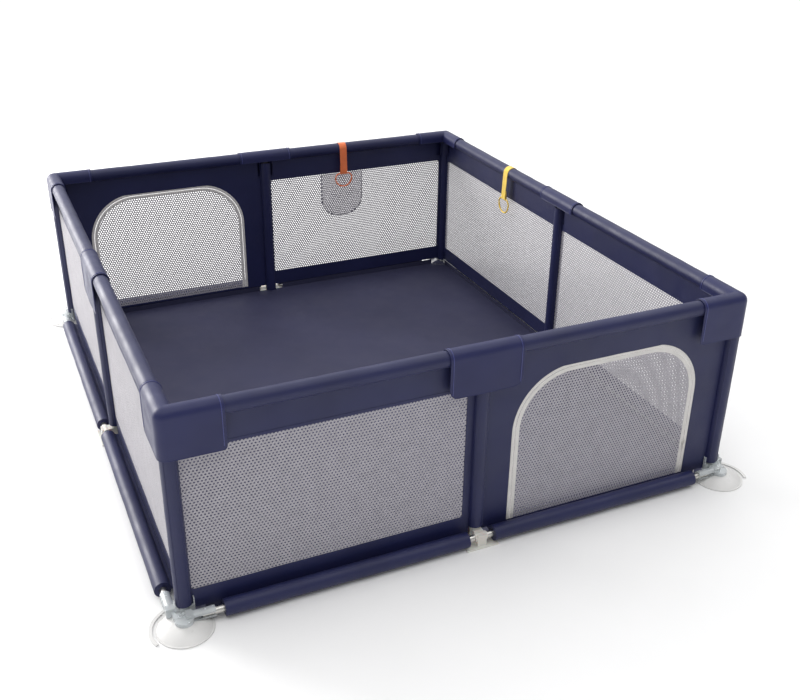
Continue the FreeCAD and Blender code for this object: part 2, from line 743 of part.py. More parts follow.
def strap_anchor():
    """Strap sewn to the outside of the roll and laid over its top."""
    inner = ROLL_R + RING_FIT
    band = tube(inner + STRAP, inner, (-STRAP_WIDTH / 2, 0, ROLL_Z), ALONG, STRAP_WIDTH)
    keep = box(-STRAP_WIDTH, STRAP_WIDTH, -2 * ROLL_R, 2 * ROLL_R, ROLL_Z, ROLL_Z + 2 * ROLL_R)
    return band.common(keep)


def strap_line():
    """Distance of the hanging strap's middle from the wall's plane."""
    return ROLL_R + RING_FIT + STRAP


def strap_tail():
    """Hanging strap, doubled, with the loop that holds the ring."""
    y = strap_line()
    loop_r = RING_WIRE_R + RING_FIT
    half = STRAP_WIDTH / 2
    flat = box(-half, half, y - STRAP, y + STRAP, RING_TOP_Z + loop_r, ROLL_Z - GAP)
    eye = rod(loop_r + STRAP, (-half, y, RING_TOP_Z), ALONG, STRAP_WIDTH)
    hole = rod(loop_r, (-half, y, RING_TOP_Z), ALONG, STRAP_WIDTH)
    return joined([flat, eye]).cut(hole)


def hand_ring():
    """Ring with a flat top that hangs in the strap's loop."""
    y = strap_line()
    top = RING_TOP_Z
    side_x = RING_TOP_HALF + RING_CORNER_R
    level = top - RING_CORNER_R
    right = (RING_TOP_HALF, level)
    left = (-RING_TOP_HALF, level)
    path = Part.Wire([
        line((-RING_TOP_HALF, top), (RING_TOP_HALF, top)),
        arc((RING_TOP_HALF, top), on_circle(right, RING_CORNER_R, 45), (side_x, level)),
        arc((side_x, level), (0, level - side_x), (-side_x, level)),
        arc((-side_x, level), on_circle(left, RING_CORNER_R, 135), (-RING_TOP_HALF, top)),
    ])
    section = Part.Wire(Part.makeCircle(RING_WIRE_R, Vector(0, 0, top), ALONG))
    ring = path.makePipeShell([section], True, False)
    ring.translate(Vector(0, y, 0))
    return ring


def pocket():
    """Open-topped pouch sewn to the outside of the window mesh."""
    x0 = POCKET_X - POCKET_WIDTH / 2
    x1 = POCKET_X + POCKET_WIDTH / 2
    skin = POCKET_SKIN
    back = -MESH / 2 - GAP
    outer = plate(
        rounded_wire(x0, x1, POCKET_BOTTOM, POCKET_TOP, POCKET_R, 0), -POCKET_DEPTH, back)
    inner = plate(
        rounded_wire(
            x0 + skin, x1 - skin, POCKET_BOTTOM + skin, POCKET_TOP + skin, POCKET_R - skin, 0),
        -POCKET_DEPTH + skin, back + skin)
    return outer.cut(inner)


def shifted(shape, x):
    moved = shape.copy()
    moved.translate(Vector(x, 0, 0))
    return moved


def main():
    os.makedirs("parts", exist_ok=True)

    corner_post = post()
    corner_post.translate(Vector(-HALF_X, -HALF_Y, 0))
    for corner in CORNERS:
        save(f"corner_post_{corner}", to_corner(corner_post, corner))
        save(f"corner_foot_{corner}", to_corner(corner_foot(), corner))
        save(f"suction_cup_{corner}", to_corner(suction_cup(), corner))
        save(f"corner_cover_{corner}", to_corner(corner_cover(), corner))
    save("top_corner_joints", [to_corner(top_corner_joint(), corner) for corner in CORNERS])

    for side, (_, _, half) in SIDES.items():
        save(f"mid_post_{side}", to_side(post(), side))
        save(f"top_rails_{side}", [to_side(rail, side) for rail in top_rails(half)])
        save(f"bottom_rails_{side}", [to_side(rail, side) for rail in bottom_rails(half)])
        save(f"wall_{side}", to_side(wall(side), side))
        save(f"window_mesh_{side}", [to_side(panel, side) for panel in mesh_panels(side)])
        save(f"mid_cover_{side}", to_side(mid_cover(), side))
    save("top_mid_joints", [to_side(top_mid_joint(), side) for side in SIDES])
    save("mid_feet", [to_side(mid_foot(), side) for side in SIDES])
    save("foam_sleeves", foam_sleeves())
    save("floor_cloth", floor_cloth())

    for side in DOOR_SIDES:
        save(f"door_mesh_{side}", to_side(door_mesh(), side))
        save(f"door_tape_{side}", to_side(door_tape(), side))
        save(f"zip_slider_{side}", to_side(zip_slider(), side))
        save(f"zip_pull_{side}", to_side(zip_pull(), side))
    save("zip_tapes_wall", [to_side(zip_tape_wall(), side) for side in DOOR_SIDES])

    places = {"back": RING_BACK_X, "right": RING_RIGHT_X}
    save("strap_anchors", [
        to_side(shifted(strap_anchor(), x), side) for side, x in places.items()])
    for side, x in places.items():
        save(f"ring_strap_{side}", to_side(shifted(strap_tail(), x), side))
        save(f"hand_ring_{side}", to_side(shifted(hand_ring(), x), side))
    save("pocket", to_side(pocket(), "back"))


main()
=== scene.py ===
import math

import bmesh
import bpy
from bpy.props import FloatProperty, FloatVectorProperty, PointerProperty
from mathutils import Matrix, Vector


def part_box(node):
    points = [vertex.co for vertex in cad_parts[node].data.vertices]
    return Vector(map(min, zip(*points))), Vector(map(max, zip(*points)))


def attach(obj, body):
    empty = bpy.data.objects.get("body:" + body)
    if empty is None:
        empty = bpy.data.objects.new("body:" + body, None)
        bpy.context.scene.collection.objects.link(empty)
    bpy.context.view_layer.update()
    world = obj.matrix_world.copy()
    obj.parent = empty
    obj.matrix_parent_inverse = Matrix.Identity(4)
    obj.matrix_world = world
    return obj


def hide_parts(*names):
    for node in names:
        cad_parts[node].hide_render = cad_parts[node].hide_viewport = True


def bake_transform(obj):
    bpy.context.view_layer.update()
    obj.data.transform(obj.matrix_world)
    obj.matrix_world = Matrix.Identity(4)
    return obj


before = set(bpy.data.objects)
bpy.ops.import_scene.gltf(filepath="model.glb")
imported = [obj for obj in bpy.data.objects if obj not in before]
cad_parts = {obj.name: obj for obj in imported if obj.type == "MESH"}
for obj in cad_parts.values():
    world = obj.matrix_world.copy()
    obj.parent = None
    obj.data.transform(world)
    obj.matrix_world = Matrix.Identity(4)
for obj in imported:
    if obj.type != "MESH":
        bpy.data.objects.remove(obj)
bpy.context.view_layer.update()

bl_info = {
    "name": "Mesh Play Yard",
    "version": (1, 0, 0),
    "blender": (4, 5, 0),
    "location": "3D View > Sidebar > Play Yard",
    "description": "Square padded play yard with mesh windows and two zipped arch doors",
    "category": "Add Mesh",
}


def middle(node):
    low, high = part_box(node)
    return (Vector(low) + Vector(high)) / 2


def span(node):
    low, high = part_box(node)
    return Vector(high) - Vector(low)


# Fixed places, read from the frame
CORNER = middle("corner_post_front_left")
HALF_X, HALF_Y = -CORNER.x, -CORNER.y
RAIL_Z = middle("top_rails_front").z
LOW_RAIL = middle("bottom_rails_front")
LOW_Z = LOW_RAIL.z
LOW_OUT = -LOW_RAIL.y - HALF_Y
RING_BACK = middle("hand_ring_back")
RING_RIGHT = middle("hand_ring_right")
DOOR = middle("door_mesh_front").x
DOOR_HALF = span("door_mesh_front").x / 2 + 0.024
DOOR_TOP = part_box("zip_tapes_wall")[1][2]
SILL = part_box("zip_tapes_wall")[0][2]
HINGE_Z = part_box("door_mesh_front")[0][2]
FLAP_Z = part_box("mid_cover_front")[0][2]
ARC = 0.190
TAPE_WALL = 0.010
TAPE_DOOR_FROM = 0.013
TAPE_DOOR_TO = 0.024
WELT_IN = 0.0075            # from a cover's end to its raised seam
SHEET = 0.0008              # thickness of the nets
SLEEVE_LOW = 0.049          # the sleeves' lower end outside the yard
SLEEVE_HIGH = 0.603
SKIRT_MID = 0.0048          # the sleeves reach down here inside the yard
SKIRT_CORNER = 0.0197
OFF_WALL = 0.0016
COVER_RADIUS = 0.0264       # outside of the covers over the rails
WELT_RADIUS = 0.0277
CUP_CENTRE = (-0.0095, -0.040)  # from the corner post
KEY_PLACE = (-3.6, 4.4, 2.2)
EYE_PLACE = (-1.22195, -3.12723, 1.88547)
EYE_TURN = (24.495, 27.210, 0.737)  # yaw, pitch and roll in degrees
EYE_LENS = 45.33
BODY = "yard"

# turn about Z, distance of the wall from the origin, half its length
SIDES = {
    "front": (0.0, HALF_Y, HALF_X),
    "right": (90.0, HALF_X, HALF_Y),
    "back": (180.0, HALF_Y, HALF_X),
    "left": (270.0, HALF_X, HALF_Y),
}
DOOR_SIDES = ("front", "back")
CORNERS = {
    "front_left": (1, 1),
    "front_right": (-1, 1),
    "back_right": (-1, -1),
    "back_left": (1, -1),
}


def distance(name, description, default):
    return FloatProperty(
        name=name, description=description, default=default, unit="LENGTH",
        subtype="DISTANCE")


def shade(name, description, default):
    return FloatVectorProperty(
        name=name, description=description, default=default, subtype="COLOR", min=0, max=1)


class YardSizes(bpy.types.PropertyGroup):
    """Sizes of the cloth pieces that a maker may change."""
    roll: distance("Roll Radius", "Outside of the padded rolls", 0.0238)
    sleeve: distance("Sleeve Radius", "Outside of the sleeves round the posts", 0.0226)
    band_bottom: distance("Band Bottom", "Lower edge of the band under the top roll", 0.530)
    wall_bottom: distance("Wall Bottom", "Lower edge of the wall panel", 0.026)
    window_bottom: distance("Window Bottom", "Lower edge of the mesh windows", 0.088)
    window_top: distance("Window Top", "Upper edge of the mesh windows", 0.518)
    mesh_pitch: distance("Mesh Pitch", "Distance between the holes of the window mesh", 0.0100)
    mesh_hole: distance("Mesh Hole", "Radius of a hole in the window mesh", 0.0031)
    cover_half: distance("Mid Cover Half", "Half the length of a mid cover", 0.113)
    cover_reach: distance("Corner Cover Reach", "Length of a corner cover's arm", 0.145)
    cover_round: distance("Cover Corner Radius", "Rounding of the covers' lower corners", 0.026)
    strap_width: distance("Strap Width", "Width of the hand rings' webbing", 0.032)


class YardColours(bpy.types.PropertyGroup):
    """Colours of the finishes."""
    cloth: shade("Cloth", "Coated cloth of rolls, bands and panels", (0.013, 0.016, 0.071))
    # a touch lighter and bluer than the cloth: painted sheen of the covers
    cover: shade("Cover", "Soft leather-look covers over the joints", (0.015, 0.018, 0.079))
    # lighter than the walls' cloth: painted light falling on the floor
    floor: shade("Floor Cloth", "Cloth floor", (0.034, 0.035, 0.078))
    mesh: shade("Window Mesh", "Knitted mesh of the windows", (0.38, 0.365, 0.40))
    trim: shade("Door Trim", "Zip tape and trim round the doors", (0.72, 0.70, 0.68))
    first_ring: shade("Back Ring", "Strap and ring on the back wall", (0.95, 0.21, 0.065))
    second_ring: shade("Right Ring", "Strap and ring on the right wall", (0.92, 0.62, 0.07))
    cup: shade("Suction Cup", "Milky soft plastic of the cups", (0.70, 0.695, 0.685))


def sizes():
    return bpy.context.scene.yard_sizes


def colours():
    return bpy.context.scene.yard_colours


# Bench helpers

def only(*objs):
    bpy.ops.object.select_all(action="DESELECT")
    for obj in objs:
        obj.select_set(True)
    bpy.context.view_layer.objects.active = objs[0]


def start(kind, scale=(1, 1, 1), **keys):
    bpy.ops.object.select_all(action="DESELECT")
    getattr(bpy.ops.mesh, f"primitive_{kind}_add")(**keys)
    obj = bpy.context.active_object
    obj.scale = scale
    bpy.ops.object.transform_apply(location=True, rotation=True, scale=True)
    return obj


def block(x0, x1, y0, y1, z0, z1):
    return start(
        "cube", size=1, location=((x0 + x1) / 2, (y0 + y1) / 2, (z0 + z1) / 2),
        scale=(x1 - x0, y1 - y0, z1 - z0))


def rod(radius, x0, x1, y, z, vertices=40):
    """Closed cylinder along X with a face, not an edge, at its lowest line."""
    obj = start(
        "cylinder", vertices=vertices, radius=radius, depth=x1 - x0,
        rotation=(0, math.pi / 2, 0), end_fill_type="NGON")
    half_step = math.pi / vertices
    obj.matrix_world = Matrix.Translation(((x0 + x1) / 2, y, z)) @ Matrix.Rotation(
        half_step, 4, "X")
    apply_place(obj)
    return obj


def apply_place(obj):
    only(obj)
    bpy.ops.object.transform_apply(location=True, rotation=True, scale=True)


class Editing:
    """Edit mode on one object, with nothing selected at first."""

    def __init__(self, obj):
        self.obj = obj

    def __enter__(self):
        only(self.obj)
        bpy.ops.object.mode_set(mode="EDIT")
        bpy.ops.mesh.select_all(action="DESELECT")
        return self

    def __exit__(self, *error):
        bpy.ops.object.mode_set(mode="OBJECT")

    def pick(self, kind, test):
        bpy.ops.mesh.select_mode(type=kind)
        bpy.ops.mesh.select_all(action="DESELECT")
        shape = bmesh.from_edit_mesh(self.obj.data)
        items = {"VERT": shape.verts, "EDGE": shape.edges, "FACE": shape.faces}[kind]
        found = 0
        for item in items:
            if test(item):
                item.select_set(True)
                found += 1
        shape.select_flush_mode()
        bmesh.update_edit_mesh(self.obj.data)
        if not found:
            raise RuntimeError(f"nothing to select on {self.obj.name}")
        return found

    def everything(self):
        bpy.ops.mesh.select_all(action="SELECT")

    def extrude(self, x, y, z):
        bpy.ops.mesh.extrude_region_move(TRANSFORM_OT_translate={"value": (x, y, z)})

    def move(self, x, y, z):
        bpy.ops.transform.translate(value=(x, y, z))

    def slice(self, point, normal, **keep):
        self.everything()
        bpy.ops.mesh.bisect(plane_co=point, plane_no=normal, **keep)

    def slices(self, axis, low, high, step):
        """Parallel cuts that leave even strips."""
        count = max(1, round((high - low) / step))
        normal = Vector((0, 0, 0))
        normal[axis] = 1
        for index in range(1, count):
            self.slice(normal * (low + (high - low) * index / count), normal)

    def merge(self, distance=0.00002):
        self.everything()
        bpy.ops.mesh.remove_doubles(threshold=distance)

    def outward(self):
        self.everything()
        bpy.ops.mesh.normals_make_consistent(inside=False)


def centre_of(item):
    if hasattr(item, "calc_center_median"):
        return item.calc_center_median()
    return (item.verts[0].co + item.verts[1].co) / 2


def modify(obj, kind, **settings):
    only(obj)
    step = obj.modifiers.new(kind.title(), kind)
    for name, value in settings.items():
        setattr(step, name, value)
    bpy.ops.object.modifier_apply(modifier=step.name)
    return obj


def repeated(obj, count, step, **more):
    """Row of copies in one mesh."""
    return modify(obj, "ARRAY", count=count, use_relative_offset=False,
                  use_constant_offset=True, constant_offset_displace=step, **more)


def copy_of(obj):
    twin = obj.copy()
    twin.data = obj.data.copy()
    bpy.context.scene.collection.objects.link(twin)
    return twin


def joined(objs):
    only(*objs)
    if len(objs) > 1:
        bpy.ops.object.join()
    return bpy.context.active_object


def discard(obj):
    bpy.data.objects.remove(obj, do_unlink=True)


def carve(obj, cutter):
    modify(obj, "BOOLEAN", operation="DIFFERENCE", solver="EXACT", object=cutter)
    discard(cutter)
    return obj


def volume(obj):
    shape = bmesh.new()
    shape.from_mesh(obj.data)
    total = shape.calc_volume(signed=True)
    shape.free()
    return total


def face_out(obj):
    """Turn a closed shape right side out if a mirror turned it inside out."""
    if volume(obj) < 0:
        with Editing(obj) as work:
            work.everything()
            bpy.ops.mesh.flip_normals()
    return obj


def to_side(obj, side):
    turn, reach, _ = SIDES[side]
    obj.matrix_world = Matrix.Rotation(math.radians(turn), 4, "Z") @ Matrix.Translation(
        (0, -reach, 0))
    apply_place(obj)
    return obj


def to_corner(obj, corner):
    flip_x, flip_y = CORNERS[corner]
    obj.matrix_world = Matrix.Diagonal((flip_x, flip_y, 1, 1)) @ Matrix.Translation(
        (-HALF_X, -HALF_Y, 0))
    apply_place(obj)
    return face_out(obj)


def bays(half, from_corner, from_mid):
    return [(-half + from_corner, -from_mid), (from_mid, half - from_corner)]


def finished(obj, name, finish, body=BODY, nodes=(), angle=40):
    obj.name = name
    obj.data.name = name
    obj.data.materials.clear()
    obj.data.materials.append(FINISHES[finish])
    only(obj)
    bpy.ops.object.shade_smooth_by_angle(angle=math.radians(angle))
    if nodes:
        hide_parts(*nodes)
    if body:
        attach(obj, body)
    return obj


def soft_texture(name, scale, depth):
    texture = bpy.data.textures.get(name) or bpy.data.textures.new(name, "CLOUDS")
    texture.noise_scale = scale
    texture.noise_depth = depth
    return texture


def ripple(obj):
    """Slack of a stretched wall: the same wave for every layer sewn into it."""
    return modify(
        obj, "DISPLACE", texture=soft_texture("slack", 0.16, 1), texture_coords="LOCAL",
        direction="Y", strength=0.0024, mid_level=0.5)


def pucker(obj, strength, scale):
    """Small gathers of cloth pulled round foam."""
    return modify(
        obj, "DISPLACE", texture=soft_texture("gathers", scale, 2), texture_coords="LOCAL",
        direction="NORMAL", strength=strength, mid_level=0.5)


def piping(obj, radius):
    """Cord sewn along every open edge of a shell."""
    cord = copy_of(obj)
    with Editing(cord) as work:
        bpy.ops.mesh.select_mode(type="EDGE")
        work.everything()
        bpy.ops.mesh.region_to_loop()
        bpy.ops.mesh.select_all(action="INVERT")
        bpy.ops.mesh.delete(type="EDGE")
    only(cord)
    bpy.ops.object.convert(target="CURVE")
    cord = bpy.context.active_object
    cord.data.bevel_depth = radius
    cord.data.bevel_resolution = 2
    bpy.ops.object.convert(target="MESH")
    cord = bpy.context.active_object
    with Editing(cord) as work:
        work.merge()
    return face_out(cord)


def stitch(length, thickness, depth):
    return start("uv_sphere", segments=6, ring_count=4, radius=0.5,
                 scale=(length, depth, thickness))


def stitch_row(begin, end, pitch=0.006, depth=0.0046, thickness=0.0009):
    """Straight row of stitches in a wall's plane, seen from both sides."""
    begin, end = Vector(begin), Vector(end)
    line = end - begin
    count = max(2, int(line.length / pitch))
    one = stitch(pitch * 0.62, thickness, depth)
    one.matrix_world = Matrix.Translation(begin + line / count / 2) @ Matrix.Rotation(
        -math.atan2(line.z, line.x), 4, "Y")
    apply_place(one)
    return repeated(one, count, line / count)


# Finishes

FINISHES = {}


class Finish:
    """A material whose detail comes from patterns on the piece's own coordinates."""

    def __init__(self, name, colour, roughness, **shader):
        self.material = bpy.data.materials.new(name)
        self.material.use_nodes = True
        self.nodes = self.material.node_tree.nodes
        self.links = self.material.node_tree.links
        self.shader = self.nodes["Principled BSDF"]
        self.shader.inputs["Base Color"].default_value = (*colour[:3], 1)
        self.shader.inputs["Roughness"].default_value = roughness
        for socket, value in shader.items():
            self.shader.inputs[socket.replace("_", " ")].default_value = value
        self.colour = tuple(colour[:3])
        self.coords = self.nodes.new("ShaderNodeTexCoord").outputs["Object"]
        self.material.diffuse_color = (*colour[:3], 1)
        FINISHES[name] = self.material

    def mapped(self, scale):
        mapping = self.nodes.new("ShaderNodeMapping")
        mapping.inputs["Scale"].default_value = scale
        self.links.new(self.coords, mapping.inputs["Vector"])
        return mapping.outputs["Vector"]

    def noise(self, scale, detail=3.0, stretch=(1, 1, 1)):
        node = self.nodes.new("ShaderNodeTexNoise")
        node.inputs["Scale"].default_value = scale
        node.inputs["Detail"].default_value = detail
        self.links.new(self.mapped(stretch), node.inputs["Vector"])
        return node.outputs["Fac"]

    def cells(self, scale):
        node = self.nodes.new("ShaderNodeTexVoronoi")
        node.inputs["Scale"].default_value = scale
        self.links.new(self.coords, node.inputs["Vector"])
        return node.outputs["Distance"]

    def weave(self, scale):
        """Over-and-under threads: ribs along the wall crossed by ribs up the wall."""
        total = None
        for direction in ("X", "Y", "Z"):
            node = self.nodes.new("ShaderNodeTexWave")
            node.bands_direction = direction
            node.inputs["Scale"].default_value = scale
            node.inputs["Distortion"].default_value = 0.6
            node.inputs["Detail"].default_value = 1.0
            self.links.new(self.coords, node.inputs["Vector"])
            total = node.outputs["Fac"] if total is None else self.mix(
                total, node.outputs["Fac"], 0.5)
        return total

    def mix(self, first, second, share):
        node = self.nodes.new("ShaderNodeMix")
        node.inputs["Factor"].default_value = share
        self.links.new(first, node.inputs["A"])
        self.links.new(second, node.inputs["B"])
        return node.outputs["Result"]

    def tinted(self, source, darker, lighter):
        """Colour between two shades of the base."""
        ramp = self.nodes.new("ShaderNodeValToRGB")
        ramp.color_ramp.elements[0].position = 0.3
        ramp.color_ramp.elements[1].position = 0.7
        ramp.color_ramp.elements[0].color = (*[c * darker for c in self.colour], 1)
        ramp.color_ramp.elements[1].color = (*[min(1, c * lighter) for c in self.colour], 1)
        self.links.new(source, ramp.inputs["Fac"])
        self.links.new(ramp.outputs["Color"], self.shader.inputs["Base Color"])

    def worn(self, source, smoother, rougher):
        node = self.nodes.new("ShaderNodeMapRange")
        node.inputs["From Min"].default_value = 0.3
        node.inputs["From Max"].default_value = 0.7
        node.inputs["To Min"].default_value = smoother
        node.inputs["To Max"].default_value = rougher
        self.links.new(source, node.inputs["Value"])
        self.links.new(node.outputs["Result"], self.shader.inputs["Roughness"])

    def relief(self, source, distance, strength=1.0):
        node = self.nodes.new("ShaderNodeBump")
        node.inputs["Distance"].default_value = distance
        node.inputs["Strength"].default_value = strength
        self.links.new(source, node.inputs["Height"])
        bumped = self.shader.inputs["Normal"]
        if bumped.is_linked:
            self.links.new(bumped.links[0].from_socket, node.inputs["Normal"])
        self.links.new(node.outputs["Normal"], bumped)


def add_finish(name, colour, roughness, tint, wear=None, reliefs=(), **shader):
    """Finish whose tint, wear and reliefs each end with their own two amounts."""
    finish = Finish(name, colour, roughness, **shader)
    *pattern, darker, lighter = tint
    finish.tinted(finish.noise(*pattern), darker, lighter)
    if wear:
        *pattern, smoother, rougher = wear
        finish.worn(finish.noise(*pattern), smoother, rougher)
    for kind, *pattern, distance, strength in reliefs:
        finish.relief(getattr(finish, kind)(*pattern), distance, strength)


def make_finishes():
    tones = colours()
    add_finish("navy_cloth", tones.cloth, 0.45, tint=(5, 4, 0.88, 1.12),
               wear=(14, 3, 0.38, 0.52),
               reliefs=[("weave", 420, 0.00025, 0.35), ("noise", 9, 2, 0.004, 0.25)],
               Sheen_Weight=0.03, Sheen_Roughness=0.4, Specular_IOR_Level=0.42)
    # Leatherette: its lighter navy is painted sheen
    add_finish("leatherette", tones.cover, 0.42, tint=(7, 4, 0.9, 1.1), wear=(20, 3, 0.36, 0.5),
               reliefs=[("cells", 520, 0.0003, 0.4), ("noise", 12, 2, 0.003, 0.25)],
               Sheen_Weight=0.03, Sheen_Roughness=0.4, Specular_IOR_Level=0.35)
    # Floor cloth: its lighter navy is painted light on the floor
    add_finish("floor_cloth", tones.floor, 0.55, tint=(3, 4, 0.9, 1.12),
               wear=(8, 3, 0.48, 0.64),
               reliefs=[("weave", 300, 0.0003, 0.35), ("noise", 4, 2, 0.012, 0.22)],
               Sheen_Weight=0.03, Sheen_Roughness=0.5, Specular_IOR_Level=0.3)
    add_finish("mesh", tones.mesh, 0.7, tint=(30, 3, 0.92, 1.06), wear=(60, 2, 0.6, 0.8),
               reliefs=[("weave", 700, 0.0002, 0.5)], Sheen_Weight=0.3, Sheen_Roughness=0.5)
    # Pocket net: the window mesh made 1.8 times lighter, partly its own paler net and partly
    # painted light, as it hangs in shade behind the back window
    add_finish("pocket_mesh", [min(0.9, c * 1.8) for c in tones.mesh], 0.7,
               tint=(30, 3, 0.92, 1.06), reliefs=[("weave", 900, 0.0002, 0.5)],
               Sheen_Weight=0.3)
    add_finish("zip_tape", tones.trim, 0.65, tint=(18, 4, 0.93, 1.04), wear=(40, 2, 0.56, 0.75),
               reliefs=[("weave", 650, 0.0003, 0.5)], Sheen_Weight=0.25, Sheen_Roughness=0.5)
    add_finish("zip_coil", [c * 0.92 for c in tones.trim], 0.4, tint=(60, 2, 0.93, 1.04),
               reliefs=[("noise", 900, 2, 0.0001, 0.3)])
    add_finish("thread", [min(1, c * 1.9) for c in tones.cloth], 0.6, tint=(80, 2, 0.85, 1.15),
               reliefs=[("noise", 1500, 2, 0.0001, 0.5)], Sheen_Weight=0.4)
    add_finish("pale_thread", [c * 0.9 for c in tones.trim], 0.6, tint=(80, 2, 0.85, 1.1),
               reliefs=[("noise", 1500, 2, 0.0001, 0.5)], Sheen_Weight=0.3)
    for label, tone in (("orange", tones.first_ring), ("yellow", tones.second_ring)):
        add_finish(f"{label}_strap", tone, 0.6, tint=(30, 4, 0.9, 1.1), wear=(50, 2, 0.52, 0.7),
                   reliefs=[("weave", 560, 0.0004, 0.7)], Sheen_Weight=0.35,
                   Sheen_Roughness=0.45)
        add_finish(f"{label}_ring", tone, 0.32, tint=(25, 3, 0.94, 1.05),
                   wear=(60, 3, 0.26, 0.4), reliefs=[("noise", 700, 2, 0.00005, 0.3)],
                   Coat_Weight=0.2, Coat_Roughness=0.2)
    add_finish("steel_tube", (0.62, 0.61, 0.58), 0.3, tint=(30, 4, 0.85, 1.08),
               wear=(90, 4, (1, 1, 0.1), 0.22, 0.4),
               reliefs=[("noise", 500, 2, (1, 1, 0.05), 0.00005, 0.3)], Metallic=1.0)
    add_finish("clear_foot", (0.84, 0.88, 0.9), 0.2, tint=(30, 3, 0.95, 1.04),
               wear=(50, 3, 0.15, 0.3), reliefs=[("noise", 300, 2, 0.0001, 0.3)],
               Transmission_Weight=0.55, IOR=1.45, Coat_Weight=0.3, Coat_Roughness=0.12)
    add_finish("suction_cup", tones.cup, 0.35, tint=(22, 3, 0.95, 1.04),
               wear=(35, 3, 0.25, 0.42), reliefs=[("noise", 180, 2, 0.00015, 0.4)],
               Coat_Weight=0.2, Coat_Roughness=0.2)
    add_finish("white_foot", (0.74, 0.71, 0.66), 0.42, tint=(25, 4, 0.93, 1.04),
               wear=(45, 3, 0.35, 0.5), reliefs=[("noise", 400, 2, 0.0001, 0.4)],
               Subsurface_Weight=0.1)
    add_finish("dark_joint", (0.03, 0.03, 0.035), 0.45, tint=(30, 3, 0.85, 1.2),
               reliefs=[("noise", 600, 3, 0.0001, 0.4)])
    # Welts: the covers' colour made 2.2 times lighter, a painted highlight along the raised
    # seams near the covers' ends
    add_finish("highlight_welt", [min(1, c * 2.2) for c in tones.cover], 0.4, tint=(40, 3, 0.9, 1.1),
               reliefs=[("cells", 700, 0.0002, 0.4)], Sheen_Weight=0.1)
    add_finish("zip_metal", (0.66, 0.64, 0.61), 0.34, tint=(200, 3, 0.85, 1.1),
               wear=(300, 3, 0.2, 0.4), reliefs=[("noise", 2500, 2, 0.00003, 0.3)],
               Coat_Weight=0.3)
    add_finish("pale_ground", (0.9, 0.9, 0.9), 0.85, tint=(3, 2, 0.99, 1.01))


# Padded rolls

def top_roll(x0, x1):
    """Roll and the band that hangs from it, one closed outline."""
    roll = rod(sizes().roll, x0, x1, 0, RAIL_Z)
    bottom = RAIL_Z - sizes().roll
    with Editing(roll) as work:
        work.pick("FACE", lambda f: f.normal.z < -0.995)
        work.extrude(0, 0, -0.004)
        for drop in (0.008, 0.030, bottom - 0.012 - 0.030 - sizes().band_bottom):
            work.extrude(0, 0, -drop)
        work.slices(0, x0, x1, 0.03)
    return pucker(roll, 0.0018, 0.06)


def bottom_roll(x0, x1):
    """Roll outside the wall, drawn to the wall along its inner side."""
    roll = rod(sizes().roll, x0, x1, -LOW_OUT, LOW_Z)
    with Editing(roll) as work:
        work.pick("FACE", lambda f: f.normal.y > 0.985)
        work.extrude(0, 0.005, 0)
        bpy.ops.transform.resize(value=(1, 1, 0.6))
        work.extrude(0, LOW_OUT - sizes().roll - 0.006, 0)
        bpy.ops.transform.resize(value=(1, 1, 0.5))
        work.slices(0, x0, x1, 0.03)
    return pucker(roll, 0.0022, 0.07)


class YARD_OT_rolls(bpy.types.Operator):
    """Padded rolls along the top and the bottom of every wall"""
    bl_idname = "play_yard.rolls"
    bl_label = "Padded Rolls"

    def execute(self, context):
        for side, (_, _, half) in SIDES.items():
            for index, (x0, x1) in enumerate(bays(half, 0.045, 0.034)):
                roll = to_side(top_roll(x0, x1), side)
                finished(
                    roll, f"top_roll_{side}_{index + 1}", "navy_cloth",
                    nodes=(f"wall_{side}", "foam_sleeves"))
            for index, (x0, x1) in enumerate(bays(half, 0.100, 0.042)):
                roll = to_side(bottom_roll(x0, x1), side)
                finished(
                    roll, f"bottom_roll_{side}_{index + 1}", "navy_cloth",
                    nodes=(f"wall_{side}", "foam_sleeves"))
        return {"FINISHED"}


# Wall panels

def window_spans(side):
    """Start and end of each mesh window along a wall, read from the frame."""
    half = SIDES[side][2]
    from_mid = 0.024
    if side == "front":
        return [(-half + 0.024, -0.046)]
    if side == "back":
        return [(-half + 0.032, -from_mid)]
    return [(-half + 0.034, -from_mid), (from_mid, half - 0.034)]


def window_block(x0, x1, margin=0.0, depth=0.02):
    """Rounded block as wide and high as a window."""
    low, high = sizes().window_bottom - margin, sizes().window_top + margin
    cutter = block(x0 - margin, x1 + margin, -depth, depth, low, high)
    with Editing(cutter) as work:
        work.pick("EDGE", lambda e: abs(e.verts[0].co.y - e.verts[1].co.y) > depth)
        bpy.ops.mesh.bevel(offset=0.008 + margin, segments=4, affect="EDGES")
    return cutter


def arch_block(inset, bottom, depth=0.02):
    """Arch as wide as the door opening less inset on each side."""
    cutter = block(
        DOOR - DOOR_HALF + inset, DOOR + DOOR_HALF - inset, -depth, depth, bottom,
        DOOR_TOP - inset)
    with Editing(cutter) as work:
        work.pick("EDGE", lambda e: (
            abs(e.verts[0].co.y - e.verts[1].co.y) > depth and centre_of(e).z > bottom + 0.1))
        bpy.ops.mesh.bevel(offset=ARC - inset, segments=20, affect="EDGES")
    return cutter


def flat_sheet(x0, x1, z0, z1, thickness, step=0.04):
    """Upright sheet in the wall's plane, cut into squares."""
    across = max(2, round((x1 - x0) / step))
    up = max(2, round((z1 - z0) / step))
    sheet = start(
        "grid", x_subdivisions=across, y_subdivisions=up, size=1,
        rotation=(math.pi / 2, 0, 0), location=((x0 + x1) / 2, 0, (z0 + z1) / 2),
        scale=(x1 - x0, z1 - z0, 1))
    return modify(sheet, "SOLIDIFY", thickness=thickness, offset=0)


def window_hem(x0, x1):
    """Cloth folded back round a window and sewn down."""
    hem = window_block(x0, x1, 0.009, 0.0017)
    carve(hem, window_block(x0, x1, 0.0))
    with Editing(hem) as work:
        work.slices(0, x0, x1, 0.06)
        work.slices(2, sizes().window_bottom, sizes().window_top, 0.06)
    return hem


